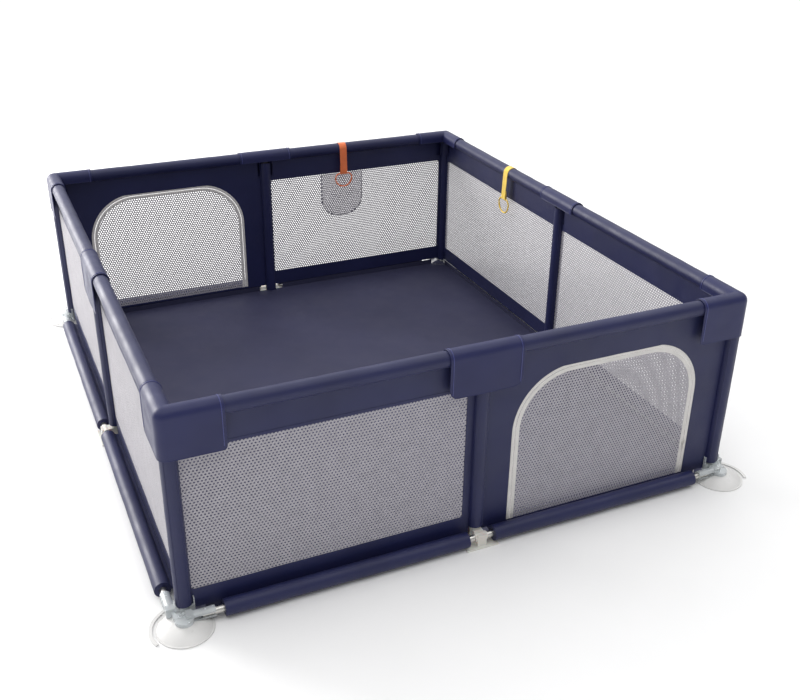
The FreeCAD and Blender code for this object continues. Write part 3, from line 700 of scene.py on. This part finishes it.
def window_stitches(x0, x1):
    low, high = sizes().window_bottom - 0.005, sizes().window_top + 0.005
    left, right = x0 - 0.005, x1 + 0.005
    corner = 0.006
    rows = [
        ((left + corner, 0, low), (right - corner, 0, low)),
        ((right, 0, low + corner), (right, 0, high - corner)),
        ((right - corner, 0, high), (left + corner, 0, high)),
        ((left, 0, high - corner), (left, 0, low + corner)),
    ]
    return joined([stitch_row(*row) for row in rows])


def wall_panel(side):
    half = SIDES[side][2]
    sleeve = sizes().sleeve - 0.0015
    panels = []
    for index, (x0, x1) in enumerate(bays(half, sleeve, sleeve)):
        panel = flat_sheet(x0, x1, sizes().wall_bottom, sizes().band_bottom + 0.012, 0.0018)
        for begin, end in window_spans(side):
            if x0 < (begin + end) / 2 < x1:
                carve(panel, window_block(begin, end))
        if side in DOOR_SIDES and index == 1:
            carve(panel, arch_block(0, SILL))
        panels.append(panel)
    return panels


class YARD_OT_panels(bpy.types.Operator):
    """Wall panels with their window hems and stitching"""
    bl_idname = "play_yard.panels"
    bl_label = "Wall Panels"

    def execute(self, context):
        for side, (_, _, half) in SIDES.items():
            for index, panel in enumerate(wall_panel(side)):
                panel = to_side(ripple(panel), side)
                finished(
                    panel, f"wall_panel_{side}_{index + 1}", "navy_cloth",
                    nodes=(f"wall_{side}",))
            for index, (x0, x1) in enumerate(window_spans(side)):
                hem = to_side(ripple(window_hem(x0, x1)), side)
                finished(hem, f"window_hem_{side}_{index + 1}", "navy_cloth",
                         nodes=(f"wall_{side}",))
                row = to_side(ripple(window_stitches(x0, x1)), side)
                finished(row, f"window_stitches_{side}_{index + 1}", "thread",
                         nodes=(f"wall_{side}",))
        return {"FINISHED"}


# Knitted mesh

def net_sheet(x0, x1, z0, z1, pitch, hole, thickness, trims=()):
    """Sheet of staggered six-sided holes, trimmed to its outline."""
    row = pitch * math.sqrt(3) / 2
    outer = pitch / math.sqrt(3)
    across = math.ceil((x1 - x0) / pitch) + 2
    pairs = math.ceil((z1 - z0) / (2 * row)) + 1
    cells = []
    for shift, lift in ((0, 0), (pitch / 2, row)):
        cell = start(
            "circle", vertices=6, radius=outer, fill_type="NGON", rotation=(math.pi / 2, 0, 0),
            location=(x0 - pitch / 2 + shift, 0, z0 + lift))
        with Editing(cell) as work:
            work.everything()
            bpy.ops.mesh.inset(thickness=(outer - hole) * math.sqrt(3) / 2)
            bpy.ops.mesh.delete(type="FACE")
        cells.append(cell)
    net = joined(cells)
    with Editing(net) as work:
        work.merge(0.0001)
    for count, step in ((across, (pitch, 0, 0)), (pairs, (0, 0, 2 * row))):
        repeated(net, count, step, use_merge_vertices=True, merge_threshold=0.0001)
    edges = [((x0, 0, 0), (-1, 0, 0)), ((x1, 0, 0), (1, 0, 0)),
             ((0, 0, z0), (0, 0, -1)), ((0, 0, z1), (0, 0, 1))]
    with Editing(net) as work:
        for point, normal in edges + list(trims):
            work.slice(point, normal, clear_outer=True)
        work.merge(0.00005)
    return modify(net, "SOLIDIFY", thickness=thickness, offset=0)


def arc_trims(x, z, radius, directions):
    """Cuts that touch a circle in the wall's plane at the given angles."""
    trims = []
    for degrees in directions:
        turn = math.radians(degrees)
        normal = Vector((math.cos(turn), 0, math.sin(turn)))
        trims.append((Vector((x, 0, z)) + normal * radius, normal))
    return trims


def arch_trims(inset):
    radius = ARC - inset
    level = DOOR_TOP - ARC
    steps = [7.5 + 7.5 * k for k in range(11)]
    left, right = DOOR - DOOR_HALF + ARC, DOOR + DOOR_HALF - ARC
    return (arc_trims(right, level, radius, steps)
            + arc_trims(left, level, radius, [180 - s for s in steps]))


def declared_net(net, name, finish, body=BODY, nodes=()):
    """Net that is stretched in its frame, given its finish, smoothing and body."""
    finished(net, name, finish, body=body, nodes=nodes, angle=30)
    return net


class YARD_OT_windows(bpy.types.Operator):
    """Mesh windows of the four walls"""
    bl_idname = "play_yard.windows"
    bl_label = "Mesh Windows"

    def execute(self, context):
        low, high = sizes().window_bottom - 0.005, sizes().window_top + 0.005
        for side in SIDES:
            for index, (x0, x1) in enumerate(window_spans(side)):
                net = net_sheet(x0 - 0.005, x1 + 0.005, low, high,
                                sizes().mesh_pitch, sizes().mesh_hole, SHEET)
                net = to_side(ripple(net), side)
                declared_net(
                    net, f"window_net_{side}_{index + 1}", "mesh",
                    nodes=(f"window_mesh_{side}",))
        return {"FINISHED"}


# Doors

def arch_strip(inset, half_width, half_depth, bottom, sides=10):
    """Flattened cord that runs up one leg, round the arch and down the other."""
    x_left, x_right = DOOR - DOOR_HALF + inset, DOOR + DOOR_HALF - inset
    radius = ARC - inset
    level = DOOR_TOP - ARC
    strip = start("circle", vertices=sides, radius=1, scale=(half_width, half_depth, 1),
                  location=(x_left, 0, bottom))
    with Editing(strip) as work:
        work.everything()
        work.extrude(0, 0, level - bottom)
        bpy.ops.mesh.spin(steps=14, angle=math.pi / 2,
                          center=(x_left + radius, 0, level), axis=(0, -1, 0))
        work.extrude(x_right - x_left - 2 * radius, 0, 0)
        bpy.ops.mesh.spin(steps=14, angle=math.pi / 2,
                          center=(x_right - radius, 0, level), axis=(0, -1, 0))
        work.extrude(0, 0, bottom - level)
        work.merge()
        bpy.ops.mesh.fill_holes(sides=0)
        work.outward()
    return strip


def arch_copies(one, inset, bottom, pitch):
    """Copies of one small part along the arch, standing still or turning with it."""
    x_left, x_right = DOOR - DOOR_HALF + inset, DOOR + DOOR_HALF - inset
    radius = ARC - inset
    level = DOOR_TOP - ARC
    top = level + radius
    legs = max(1, round((level - bottom) / pitch))
    arcs = round(radius * math.pi / 2 / pitch)
    flats = max(1, round((x_right - x_left - 2 * radius) / pitch))
    parts = []
    for x in (x_left, x_right):
        leg = copy_of(one)
        leg.location = (x, 0, bottom)
        apply_place(leg)
        parts.append(repeated(leg, legs, (0, 0, (level - bottom) / legs)))
    flat = copy_of(one)
    flat.matrix_world = Matrix.Translation((x_left + radius, 0, top)) @ Matrix.Rotation(
        math.pi / 2, 4, "Y")
    apply_place(flat)
    parts.append(repeated(flat, flats, ((x_right - x_left - 2 * radius) / flats, 0, 0)))
    for x, centre, turn in ((x_left, x_left + radius, -1), (x_right, x_right - radius, 1)):
        arc = copy_of(one)
        arc.location = (x, 0, level)
        apply_place(arc)
        with Editing(arc) as work:
            work.everything()
            bpy.ops.mesh.spin(steps=arcs, angle=turn * math.pi / 2, dupli=True,
                              center=(centre, 0, level), axis=(0, 1, 0))
        parts.append(arc)
    discard(one)
    return joined(parts)


class YARD_OT_doors(bpy.types.Operator):
    """Arch doors with their net, trim and zip"""
    bl_idname = "play_yard.doors"
    bl_label = "Arch Doors"

    def execute(self, context):
        edge = TAPE_DOOR_TO - 0.006
        x0, x1 = DOOR - DOOR_HALF + edge, DOOR + DOOR_HALF - edge
        middle_wall = TAPE_WALL / 2
        middle_door = (TAPE_DOOR_FROM + TAPE_DOOR_TO) / 2
        coil_line = (TAPE_WALL + TAPE_DOOR_FROM) / 2
        for side in DOOR_SIDES:
            flap = f"door_flap_{side}"
            net = net_sheet(x0, x1, HINGE_Z + 0.001, DOOR_TOP - edge, sizes().mesh_pitch,
                            sizes().mesh_hole, SHEET, arch_trims(edge))
            declared_net(
                to_side(net, side), f"door_net_{side}", "mesh",
                body=flap,
                nodes=(f"door_mesh_{side}",))
            sill = net_sheet(x0, x1, SILL, HINGE_Z - 0.0005, sizes().mesh_pitch,
                             sizes().mesh_hole, SHEET)
            finished(to_side(sill, side), f"sill_net_{side}", "mesh",
                     nodes=(f"window_mesh_{side}",), angle=30)
            trim = arch_strip(middle_door, (TAPE_DOOR_TO - TAPE_DOOR_FROM) / 2 + 0.0006,
                              0.0016, HINGE_Z + 0.0006)
            finished(to_side(trim, side), f"door_trim_{side}", "zip_tape", body=flap,
                     nodes=(f"door_tape_{side}",))
            outer = arch_strip(middle_wall, TAPE_WALL / 2 + 0.0004, 0.0015, SILL)
            finished(to_side(outer, side), f"zip_tape_{side}", "zip_tape",
                     nodes=("zip_tapes_wall",))
            stubs = arch_strip(middle_door, (TAPE_DOOR_TO - TAPE_DOOR_FROM) / 2 + 0.0006,
                               0.0016, SILL)
            with Editing(stubs) as work:
                work.slice((0, 0, HINGE_Z - 0.0006), (0, 0, 1), clear_outer=True, use_fill=True)
            finished(to_side(stubs, side), f"door_trim_ends_{side}", "zip_tape",
                     nodes=("zip_tapes_wall",))
            tooth = start("uv_sphere", segments=6, ring_count=4, radius=0.5,
                          scale=(0.0042, 0.0024, 0.0013))
            coil = arch_copies(tooth, coil_line, SILL + 0.002, 0.0026)
            finished(to_side(coil, side), f"zip_coil_{side}", "zip_coil",
                     nodes=("zip_tapes_wall",))
            for label, inset, body in (
                    ("wall", TAPE_WALL * 0.35, BODY), ("door", TAPE_DOOR_TO - 0.003, flap)):
                one = stitch(0.0008, 0.0030, 0.0040)
                bottom = SILL + 0.004 if body == BODY else HINGE_Z + 0.004
                row = arch_copies(one, inset, bottom, 0.005)
                finished(to_side(row, side), f"trim_stitches_{label}_{side}", "pale_thread",
                         body=body,
                         nodes=("zip_tapes_wall",) if body == BODY else (f"door_tape_{side}",))
        return {"FINISHED"}


# Post sleeves

def ridge(work, degrees, height, tolerance=6.0):
    """Seam that stands out of a post sleeve along one direction."""
    turn = math.radians(degrees)
    toward = Vector((math.cos(turn), math.sin(turn), 0))
    work.pick("FACE", lambda f: f.normal.angle(toward, 3.2) < math.radians(tolerance))
    bpy.ops.mesh.inset(thickness=0.0006, use_even_offset=True)
    work.move(*(toward * height))


def skirted_tube(low, quadrant):
    """Sleeve whose inner part alone goes on down over the foot's collar."""
    tube = start("cylinder", vertices=36, radius=sizes().sleeve, depth=SLEEVE_HIGH - low,
                 location=(0, 0, (low + SLEEVE_HIGH) / 2), end_fill_type="NOTHING")
    edge = SLEEVE_LOW + 0.0005
    with Editing(tube) as work:
        work.slices(2, low, SLEEVE_LOW, 0.0113)
        work.slice((0, 0, edge), (0, 0, 1))
        work.slice((0, OFF_WALL, 0), (0, 1, 0))
        if quadrant:
            work.slice((OFF_WALL, 0, 0), (1, 0, 0))
        work.pick("FACE", lambda f: centre_of(f).z < edge and (
            centre_of(f).y < OFF_WALL or (quadrant and centre_of(f).x < OFF_WALL)))
        bpy.ops.mesh.delete(type="FACE")
        work.merge()
    return tube


def moved(obj, x, y):
    obj.location = (x, y, 0)
    apply_place(obj)
    return obj


def sewn_sleeve(tube, seams):
    with Editing(tube) as work:
        for degrees in seams:
            ridge(work, degrees, 0.0013)
        work.slices(2, SLEEVE_LOW, SLEEVE_HIGH, 0.035)
    pucker(tube, 0.0014, 0.05)
    return modify(tube, "SOLIDIFY", thickness=0.0012, offset=-1)


def mid_sleeve():
    return sewn_sleeve(skirted_tube(SKIRT_MID, False), (215, 325, 35, 145))


def corner_sleeve():
    """Sleeve that gathers where it stands, so that it differs from the mid ones."""
    tube = moved(skirted_tube(SKIRT_CORNER, True), -HALF_X, -HALF_Y)
    return moved(sewn_sleeve(tube, (225, 315, 135)), HALF_X, HALF_Y)


class YARD_OT_sleeves(bpy.types.Operator):
    """Cloth sleeves round the posts"""
    bl_idname = "play_yard.sleeves"
    bl_label = "Post Sleeves"

    def execute(self, context):
        for side in SIDES:
            finished(to_side(mid_sleeve(), side), f"mid_sleeve_{side}", "navy_cloth",
                     nodes=(f"wall_{side}",))
        for corner in CORNERS:
            wall = "wall_front" if corner.startswith("front") else "wall_back"
            finished(to_corner(corner_sleeve(), corner), f"corner_sleeve_{corner}",
                     "navy_cloth", nodes=(wall,))
        return {"FINISHED"}


# Covers over the rail joints

def hood(x0, x1, rounded, radius=COVER_RADIUS, turn=0.0):
    """Open shell over the rail: long flap outside, short lip inside."""
    shell = start("cylinder", vertices=40, radius=radius, depth=x1 - x0,
                  rotation=(0, math.pi / 2, 0), location=((x0 + x1) / 2, 0, RAIL_Z),
                  end_fill_type="NOTHING")
    with Editing(shell) as work:
        work.slice((0, 0, RAIL_Z), (0, 0, 1), clear_inner=True)
        work.merge()
        work.pick("EDGE", lambda e: (
            centre_of(e).z < RAIL_Z + 0.0005 and centre_of(e).y < -radius * 0.98))
        work.extrude(0, 0, FLAP_Z - RAIL_Z)
        work.pick("EDGE", lambda e: (
            centre_of(e).z > RAIL_Z - 0.0005 and centre_of(e).z < RAIL_Z + 0.0005
            and centre_of(e).y > radius * 0.98))
        work.extrude(0, 0, -0.015)
        for x in rounded:
            work.pick("VERT", lambda v: (
                abs(v.co.x - x) < 0.001 and v.co.z < FLAP_Z + 0.001 and v.co.y < 0))
            bpy.ops.mesh.bevel(offset=turn, segments=8, affect="VERTICES")
    return shell


def skinned(shell):
    """Give a cover's shell its small gathers, piping and thickness."""
    with Editing(shell) as work:
        work.merge()
        work.outward()
    if sum(f.normal.z * f.area for f in shell.data.polygons) < 0:
        with Editing(shell) as work:
            work.everything()
            bpy.ops.mesh.flip_normals()
    pucker(shell, 0.0014, 0.07)
    cord = piping(shell, 0.0015)
    modify(shell, "SOLIDIFY", thickness=0.0019, offset=0)
    return shell, cord


def crowned(shell, point, outward, reach):
    """Push the middle of a flap out a little, as its padding does."""
    with Editing(shell):
        target = Vector(point)
        bpy.ops.mesh.select_mode(type="VERT")
        shape = bmesh.from_edit_mesh(shell.data)
        nearest = min(shape.verts, key=lambda v: (v.co - target).length)
        nearest.select_set(True)
        shape.select_flush_mode()
        bmesh.update_edit_mesh(shell.data)
        bpy.ops.transform.translate(
            value=outward, use_proportional_edit=True, proportional_edit_falloff="SMOOTH",
            proportional_size=reach)
    return shell


def mid_cover():
    half = sizes().cover_half
    shell = hood(-half, half, (-half, half), turn=sizes().cover_round)
    with Editing(shell) as work:
        work.slices(0, -half, half, 0.016)
        work.slices(2, FLAP_Z, RAIL_Z, 0.016)
    crowned(shell, (0, -COVER_RADIUS, FLAP_Z + 0.055), (0, -0.0035, 0), 0.10)
    return skinned(shell)


def turned_over(obj):
    """Mirror a piece on the front wall onto the left wall, across the corner."""
    obj.matrix_world = Matrix(((0, 1, 0, 0), (1, 0, 0, 0), (0, 0, 1, 0), (0, 0, 0, 1)))
    apply_place(obj)
    return obj


def corner_cover():
    reach = sizes().cover_reach
    arm = hood(0, reach, (reach,), turn=sizes().cover_round * 0.45)
    with Editing(arm) as work:
        work.slices(0, 0, reach, 0.016)
        work.slices(2, FLAP_Z, RAIL_Z, 0.016)
        work.slice((0, 0, 0), (1, -1, 0), clear_inner=True)
    other = turned_over(copy_of(arm))
    with Editing(arm) as work:
        work.pick("EDGE", lambda e: all(abs(v.co.x) < 1e-5 and v.co.y < 1e-5 for v in e.verts))
        bpy.ops.mesh.spin(steps=8, angle=math.pi / 2, center=(0, 0, 0), axis=(0, 0, 1))
    shell = joined([arm, other])
    moved(shell, -HALF_X, -HALF_Y)
    with Editing(shell) as work:
        work.merge(0.0001)
    return skinned(shell)


def highlight_welt(x):
    """Raised seam across a cover, just inside one of its ends."""
    wide = 0.0026
    seam = hood(x - wide / 2, x + wide / 2, (), radius=WELT_RADIUS)
    with Editing(seam) as work:
        work.pick("VERT", lambda v: v.co.z < FLAP_Z + 0.001 and v.co.y < 0)
        work.move(0, 0, sizes().cover_round * 0.45)
    modify(seam, "SOLIDIFY", thickness=0.0016, offset=0)
    modify(seam, "BEVEL", width=0.0006, segments=2, limit_method="ANGLE")
    return seam


class YARD_OT_covers(bpy.types.Operator):
    """Soft covers over the top rail's corner and middle joints"""
    bl_idname = "play_yard.covers"
    bl_label = "Joint Covers"

    def execute(self, context):
        for side in SIDES:
            shell, cord = mid_cover()
            node = f"mid_cover_{side}"
            finished(to_side(shell, side), f"mid_hood_{side}", "leatherette", nodes=(node,))
            finished(to_side(cord, side), f"mid_hood_piping_{side}", "leatherette",
                     nodes=(node,))
            place = sizes().cover_half - WELT_IN
            # the welts carry the painted highlight finish
            seams = joined([highlight_welt(-place), highlight_welt(place)])
            finished(to_side(seams, side), f"mid_hood_welts_{side}", "highlight_welt",
                     nodes=(node,))
        for corner in CORNERS:
            shell, cord = corner_cover()
            node = f"corner_cover_{corner}"
            finished(to_corner_again(shell, corner), f"corner_hood_{corner}", "leatherette",
                     nodes=(node,))
            finished(to_corner_again(cord, corner), f"corner_hood_piping_{corner}",
                     "leatherette", nodes=(node,))
            place = sizes().cover_reach - WELT_IN
            # the welts carry the painted highlight finish
            second = face_out(turned_over(highlight_welt(place)))
            seams = joined([highlight_welt(place), second])
            finished(to_corner(seams, corner), f"corner_hood_welts_{corner}", "highlight_welt",
                     nodes=(node,))
        return {"FINISHED"}


def to_corner_again(obj, corner):
    """Mirror a piece that already stands at the front left corner."""
    flip_x, flip_y = CORNERS[corner]
    obj.matrix_world = Matrix.Diagonal((flip_x, flip_y, 1, 1))
    apply_place(obj)
    return face_out(obj)


# Floor

def cup_hood():
    """Floor cloth raised over the part of a suction cup inside the yard."""
    base, height, step = 0.0803, 0.0260, 0.0050
    radius = (base ** 2 + height ** 2) / (2 * height)
    centre = CUP_CENTRE
    dome = start("ico_sphere", subdivisions=6, radius=radius,
                 location=(*centre, height - radius))
    with Editing(dome) as work:
        work.slice((0, 0, step), (0, 0, 1), clear_inner=True)
        work.slice((0.002, 0, 0), (1, 0, 0), clear_inner=True)
        work.slice((0, 0.002, 0), (0, 1, 0), clear_inner=True)
        work.pick("EDGE", lambda e: all(abs(v.co.z - step) < 1e-4 for v in e.verts))
        work.extrude(0, 0, 0)
        bpy.ops.transform.resize(value=(1.058, 1.058, 1), center_override=(*centre, 0))
        work.extrude(0, 0, 0.0030 - step)
    modify(dome, "SOLIDIFY", thickness=0.0012, offset=0)
    carve(dome, start("cylinder", vertices=40, radius=0.0205, depth=0.2))
    return dome


class YARD_OT_floor(bpy.types.Operator):
    """Cloth floor with its edge turned up against the walls"""
    bl_idname = "play_yard.floor"
    bl_label = "Cloth Floor"

    def execute(self, context):
        half_x, half_y = HALF_X - 0.004, HALF_Y - 0.004
        lift = 0.021
        cloth = start("grid", x_subdivisions=56, y_subdivisions=64, size=1,
                      location=(0, 0, 0.0027), scale=(2 * half_x, 2 * half_y, 1))
        modify(cloth, "DISPLACE", texture=soft_texture("floor_waves", 0.22, 2),
               texture_coords="LOCAL", direction="Z", strength=0.0035, mid_level=0.42)
        with Editing(cloth) as work:
            bpy.ops.mesh.select_mode(type="EDGE")
            work.everything()
            bpy.ops.mesh.region_to_loop()
            work.extrude(0, 0, lift * 0.35)
            work.extrude(0, 0, lift * 0.65)
        modify(cloth, "SOLIDIFY", thickness=0.0014, offset=0)
        for corner in CORNERS:
            hole = start("cylinder", vertices=64, radius=0.0812, depth=0.1,
                         location=(*CUP_CENTRE, 0))
            carve(cloth, to_corner(hole, corner))
        for side in SIDES:
            carve(cloth, to_side(block(-0.054, 0.054, -0.01, 0.005, -0.01, 0.03), side))
            stem = start("cylinder", vertices=40, radius=0.0215, depth=0.1)
            carve(cloth, to_side(stem, side))
        hoods = [to_corner(cup_hood(), corner) for corner in CORNERS]
        cloth = joined([cloth] + hoods)
        finished(cloth, "floor_sheet", "floor_cloth", nodes=("floor_cloth",), angle=50)
        return {"FINISHED"}


# Hand rings and pocket

def webbing(x):
    """Strap over the rail, its tail folded round the ring, seen as one sheet."""
    radius = 0.0252
    tail = middle("ring_strap_back").y
    hang = HALF_Y - tail
    ring_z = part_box("hand_ring_back")[1][2] - 0.003
    width = sizes().strap_width
    path = start("cylinder", vertices=48, radius=radius, depth=width,
                 rotation=(0, math.pi / 2, 0), location=(x, 0, RAIL_Z),
                 end_fill_type="NOTHING")
    eye = 0.0042
    with Editing(path) as work:
        work.slice((0, 0, RAIL_Z), (0, 0, 1), clear_inner=True)
        work.pick("EDGE", lambda e: abs(centre_of(e).z - RAIL_Z) < 0.0005 and centre_of(e).y > 0
                  and abs(e.verts[0].co.x - e.verts[1].co.x) > width / 2)
        work.extrude(0, 0.0012, -0.012)
        work.extrude(0, hang + eye - radius - 0.0012, ring_z - RAIL_Z + 0.024)
        work.extrude(0, 0, -0.012)
        bpy.ops.mesh.spin(steps=10, angle=math.pi, center=(0, hang, ring_z), axis=(1, 0, 0))
        work.extrude(0, 0.0024, 0.014)
        work.extrude(0, 0.0016, 0.022)
        work.slices(0, x - width / 2, x + width / 2, 0.006)
        work.merge()
        work.outward()
    return modify(path, "SOLIDIFY", thickness=0.0013, offset=0)


class YARD_OT_straps(bpy.types.Operator):
    """Webbing straps that carry the two hand rings"""
    bl_idname = "play_yard.straps"
    bl_label = "Ring Straps"

    def execute(self, context):
        places = {"back": (-RING_BACK.x, "orange"), "right": (RING_RIGHT.y, "yellow")}
        ring_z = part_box("hand_ring_back")[1][2] - 0.003
        for side, (x, colour) in places.items():
            strap = webbing(x)
            strap = finished(to_side(strap, side), f"webbing_{side}", f"{colour}_strap",
                             body=None, nodes=(f"ring_strap_{side}", "strap_anchors"))
            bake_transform(strap)
            box_x = 0.010
            rows = []
            low, high = ring_z + 0.012, ring_z + 0.026
            for row in (((x - box_x, 0, low), (x + box_x, 0, low)),
                        ((x - box_x, 0, high), (x + box_x, 0, high)),
                        ((x - box_x, 0, low), (x + box_x, 0, high)),
                        ((x - box_x, 0, high), (x + box_x, 0, low))):
                rows.append(stitch_row(*row, 0.003, 0.0106, 0.0007))
            sewn = joined(rows)
            sewn.location = (0, 0.0258, 0)
            apply_place(sewn)
            finished(to_side(sewn, side), f"strap_stitches_{side}", f"{colour}_strap",
                     body=f"strap_{side}", nodes=(f"ring_strap_{side}",))
        for side, (x, colour) in places.items():
            give_finish(f"hand_ring_{side}", f"{colour}_ring")
        return {"FINISHED"}


def give_finish(node, finish):
    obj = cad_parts[node]
    obj = bpy.data.objects[obj] if isinstance(obj, str) else obj
    for slot in obj.material_slots:
        slot.material = FINISHES[finish]
    if not obj.material_slots:
        obj.data.materials.append(FINISHES[finish])


def pocket_outline(x, half, z0, z1, radius):
    """Upright plate with two round lower corners."""
    plate = block(x - half, x + half, -0.001, 0.001, z0, z1)
    with Editing(plate) as work:
        work.pick("EDGE", lambda e: (
            abs(e.verts[0].co.y - e.verts[1].co.y) > 0.001 and centre_of(e).z < z0 + 0.01))
        bpy.ops.mesh.bevel(offset=radius, segments=14, affect="EDGES")
    return plate


class YARD_OT_pocket(bpy.types.Operator):
    """Mesh pouch outside the back window, bound with navy cloth"""
    bl_idname = "play_yard.pocket"
    bl_label = "Mesh Pocket"

    def execute(self, context):
        low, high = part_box("pocket")
        x = -(low[0] + high[0]) / 2
        half = (high[0] - low[0]) / 2
        z0, z1 = low[2], high[2]
        radius = 0.080
        y = -0.0035
        trims = arc_trims(x + half - radius, z0 + radius, radius - 0.002,
                          [-9 - 9 * k for k in range(10)])
        trims += arc_trims(x - half + radius, z0 + radius, radius - 0.002,
                           [189 + 9 * k for k in range(10)])
        net = net_sheet(x - half + 0.002, x + half - 0.002, z0 + 0.002, z1 - 0.002,
                        0.0052, 0.0021, 0.0007, trims)
        net.location = (0, y, 0)
        apply_place(net)
        crowned(net, (x, y, (z0 + z1) / 2 + 0.03), (0, -0.010, 0), 0.105)
        # the pocket net's lighter colour is partly painted light
        declared_net(to_side(net, "back"), "pocket_net", "pocket_mesh",
                     nodes=("pocket",))
        outline = pocket_outline(x, half, z0, z1, radius)
        with Editing(outline) as work:
            work.pick("FACE", lambda f: f.normal.y < -0.9)
            bpy.ops.mesh.select_all(action="INVERT")
            bpy.ops.mesh.delete(type="FACE")
        cord = piping(outline, 0.0026)
        discard(outline)
        cord.location = (0, y + 0.001, 0)
        apply_place(cord)
        finished(to_side(cord, "back"), "pocket_binding", "navy_cloth", nodes=("pocket",))
        return {"FINISHED"}


# Feet and frame

class YARD_OT_feet(bpy.types.Operator):
    """Suction cups, corner feet and mid feet"""
    bl_idname = "play_yard.feet"
    bl_label = "Feet"

    def execute(self, context):
        for corner in CORNERS:
            give_finish(f"corner_foot_{corner}", "clear_foot")
            give_finish(f"suction_cup_{corner}", "suction_cup")
        give_finish("mid_feet", "white_foot")
        return {"FINISHED"}


class YARD_OT_frame(bpy.types.Operator):
    """Finishes of the steel frame, its joints and the zips' metal"""
    bl_idname = "play_yard.frame"
    bl_label = "Steel Frame"

    def execute(self, context):
        for side in SIDES:
            for part in ("mid_post", "top_rails", "bottom_rails"):
                give_finish(f"{part}_{side}", "steel_tube")
        for corner in CORNERS:
            give_finish(f"corner_post_{corner}", "steel_tube")
        give_finish("top_corner_joints", "dark_joint")
        give_finish("top_mid_joints", "dark_joint")
        for side in DOOR_SIDES:
            give_finish(f"zip_slider_{side}", "zip_metal")
            give_finish(f"zip_pull_{side}", "zip_metal")
        return {"FINISHED"}


class YARD_OT_stage(bpy.types.Operator):
    """Pale floor, soft lights and the camera"""
    bl_idname = "play_yard.stage"
    bl_label = "Stage"

    def execute(self, context):
        floor = start("plane", size=60, location=(0, 0, -0.0005))
        floor.name = "pale_floor"
        floor.data.materials.append(FINISHES["pale_ground"])
        world = bpy.data.worlds.new("soft_room")
        world.use_nodes = True
        world.node_tree.nodes["Background"].inputs["Color"].default_value = (1, 1, 1, 1)
        world.node_tree.nodes["Background"].inputs["Strength"].default_value = 0.45
        context.scene.world = world
        context.scene.view_settings.view_transform = "Standard"
        key = bpy.data.lights.new("key", "AREA")
        key.size = 3.0
        key.energy = 330
        key.color = (1, 0.98, 0.96)
        lamp = bpy.data.objects.new("key", key)
        lamp.location = KEY_PLACE
        lamp.rotation_euler = (Vector((0, 0, 0.3)) - Vector(KEY_PLACE)).to_track_quat(
            "-Z", "Y").to_euler()
        context.scene.collection.objects.link(lamp)
        sky = bpy.data.lights.new("sky", "SUN")
        sky.energy = 2.6
        sky.angle = math.radians(110)
        lamp = bpy.data.objects.new("sky", sky)
        lamp.rotation_euler = (math.radians(-18), 0, 0)
        context.scene.collection.objects.link(lamp)
        camera = bpy.data.cameras.new("camera")
        camera.sensor_width = 36
        camera.lens = EYE_LENS
        camera.clip_end = 100
        eye = bpy.data.objects.new("camera", camera)
        yaw, pitch, roll = (math.radians(v) for v in EYE_TURN)
        ahead = Vector((math.sin(yaw) * math.cos(pitch), math.cos(yaw) * math.cos(pitch),
                        -math.sin(pitch)))
        right = Vector((math.cos(yaw), -math.sin(yaw), 0))
        above = right.cross(ahead)
        across = math.cos(roll) * right + math.sin(roll) * above
        upward = math.cos(roll) * above - math.sin(roll) * right
        eye.matrix_world = Matrix.Translation(EYE_PLACE) @ Matrix(
            (across, upward, -ahead)).transposed().to_4x4()
        context.scene.collection.objects.link(eye)
        context.scene.camera = eye
        return {"FINISHED"}


STEPS = (
    YARD_OT_frame, YARD_OT_feet, YARD_OT_floor, YARD_OT_rolls, YARD_OT_panels,
    YARD_OT_windows, YARD_OT_doors, YARD_OT_sleeves, YARD_OT_covers, YARD_OT_straps,
    YARD_OT_pocket, YARD_OT_stage,
)


class YARD_PT_panel(bpy.types.Panel):
    """Buttons that build the yard piece by piece"""
    bl_idname = "YARD_PT_panel"
    bl_label = "Play Yard"
    bl_space_type = "VIEW_3D"
    bl_region_type = "UI"
    bl_category = "Play Yard"

    def draw(self, context):
        column = self.layout.column()
        for step in STEPS:
            column.operator(step.bl_idname)
        for group in (context.scene.yard_sizes, context.scene.yard_colours):
            for name in group.bl_rna.properties.keys():
                if name not in ("rna_type", "name"):
                    column.prop(group, name)


CLASSES = (YardSizes, YardColours, *STEPS, YARD_PT_panel)


def register():
    for item in CLASSES:
        bpy.utils.register_class(item)
    bpy.types.Scene.yard_sizes = PointerProperty(type=YardSizes)
    bpy.types.Scene.yard_colours = PointerProperty(type=YardColours)


def unregister():
    del bpy.types.Scene.yard_colours
    del bpy.types.Scene.yard_sizes
    for item in reversed(CLASSES):
        bpy.utils.unregister_class(item)


def main():
    register()
    make_finishes()
    for step in STEPS:
        group, name = step.bl_idname.split(".")
        getattr(getattr(bpy.ops, group), name)()


if __name__ == "__main__":
    main()
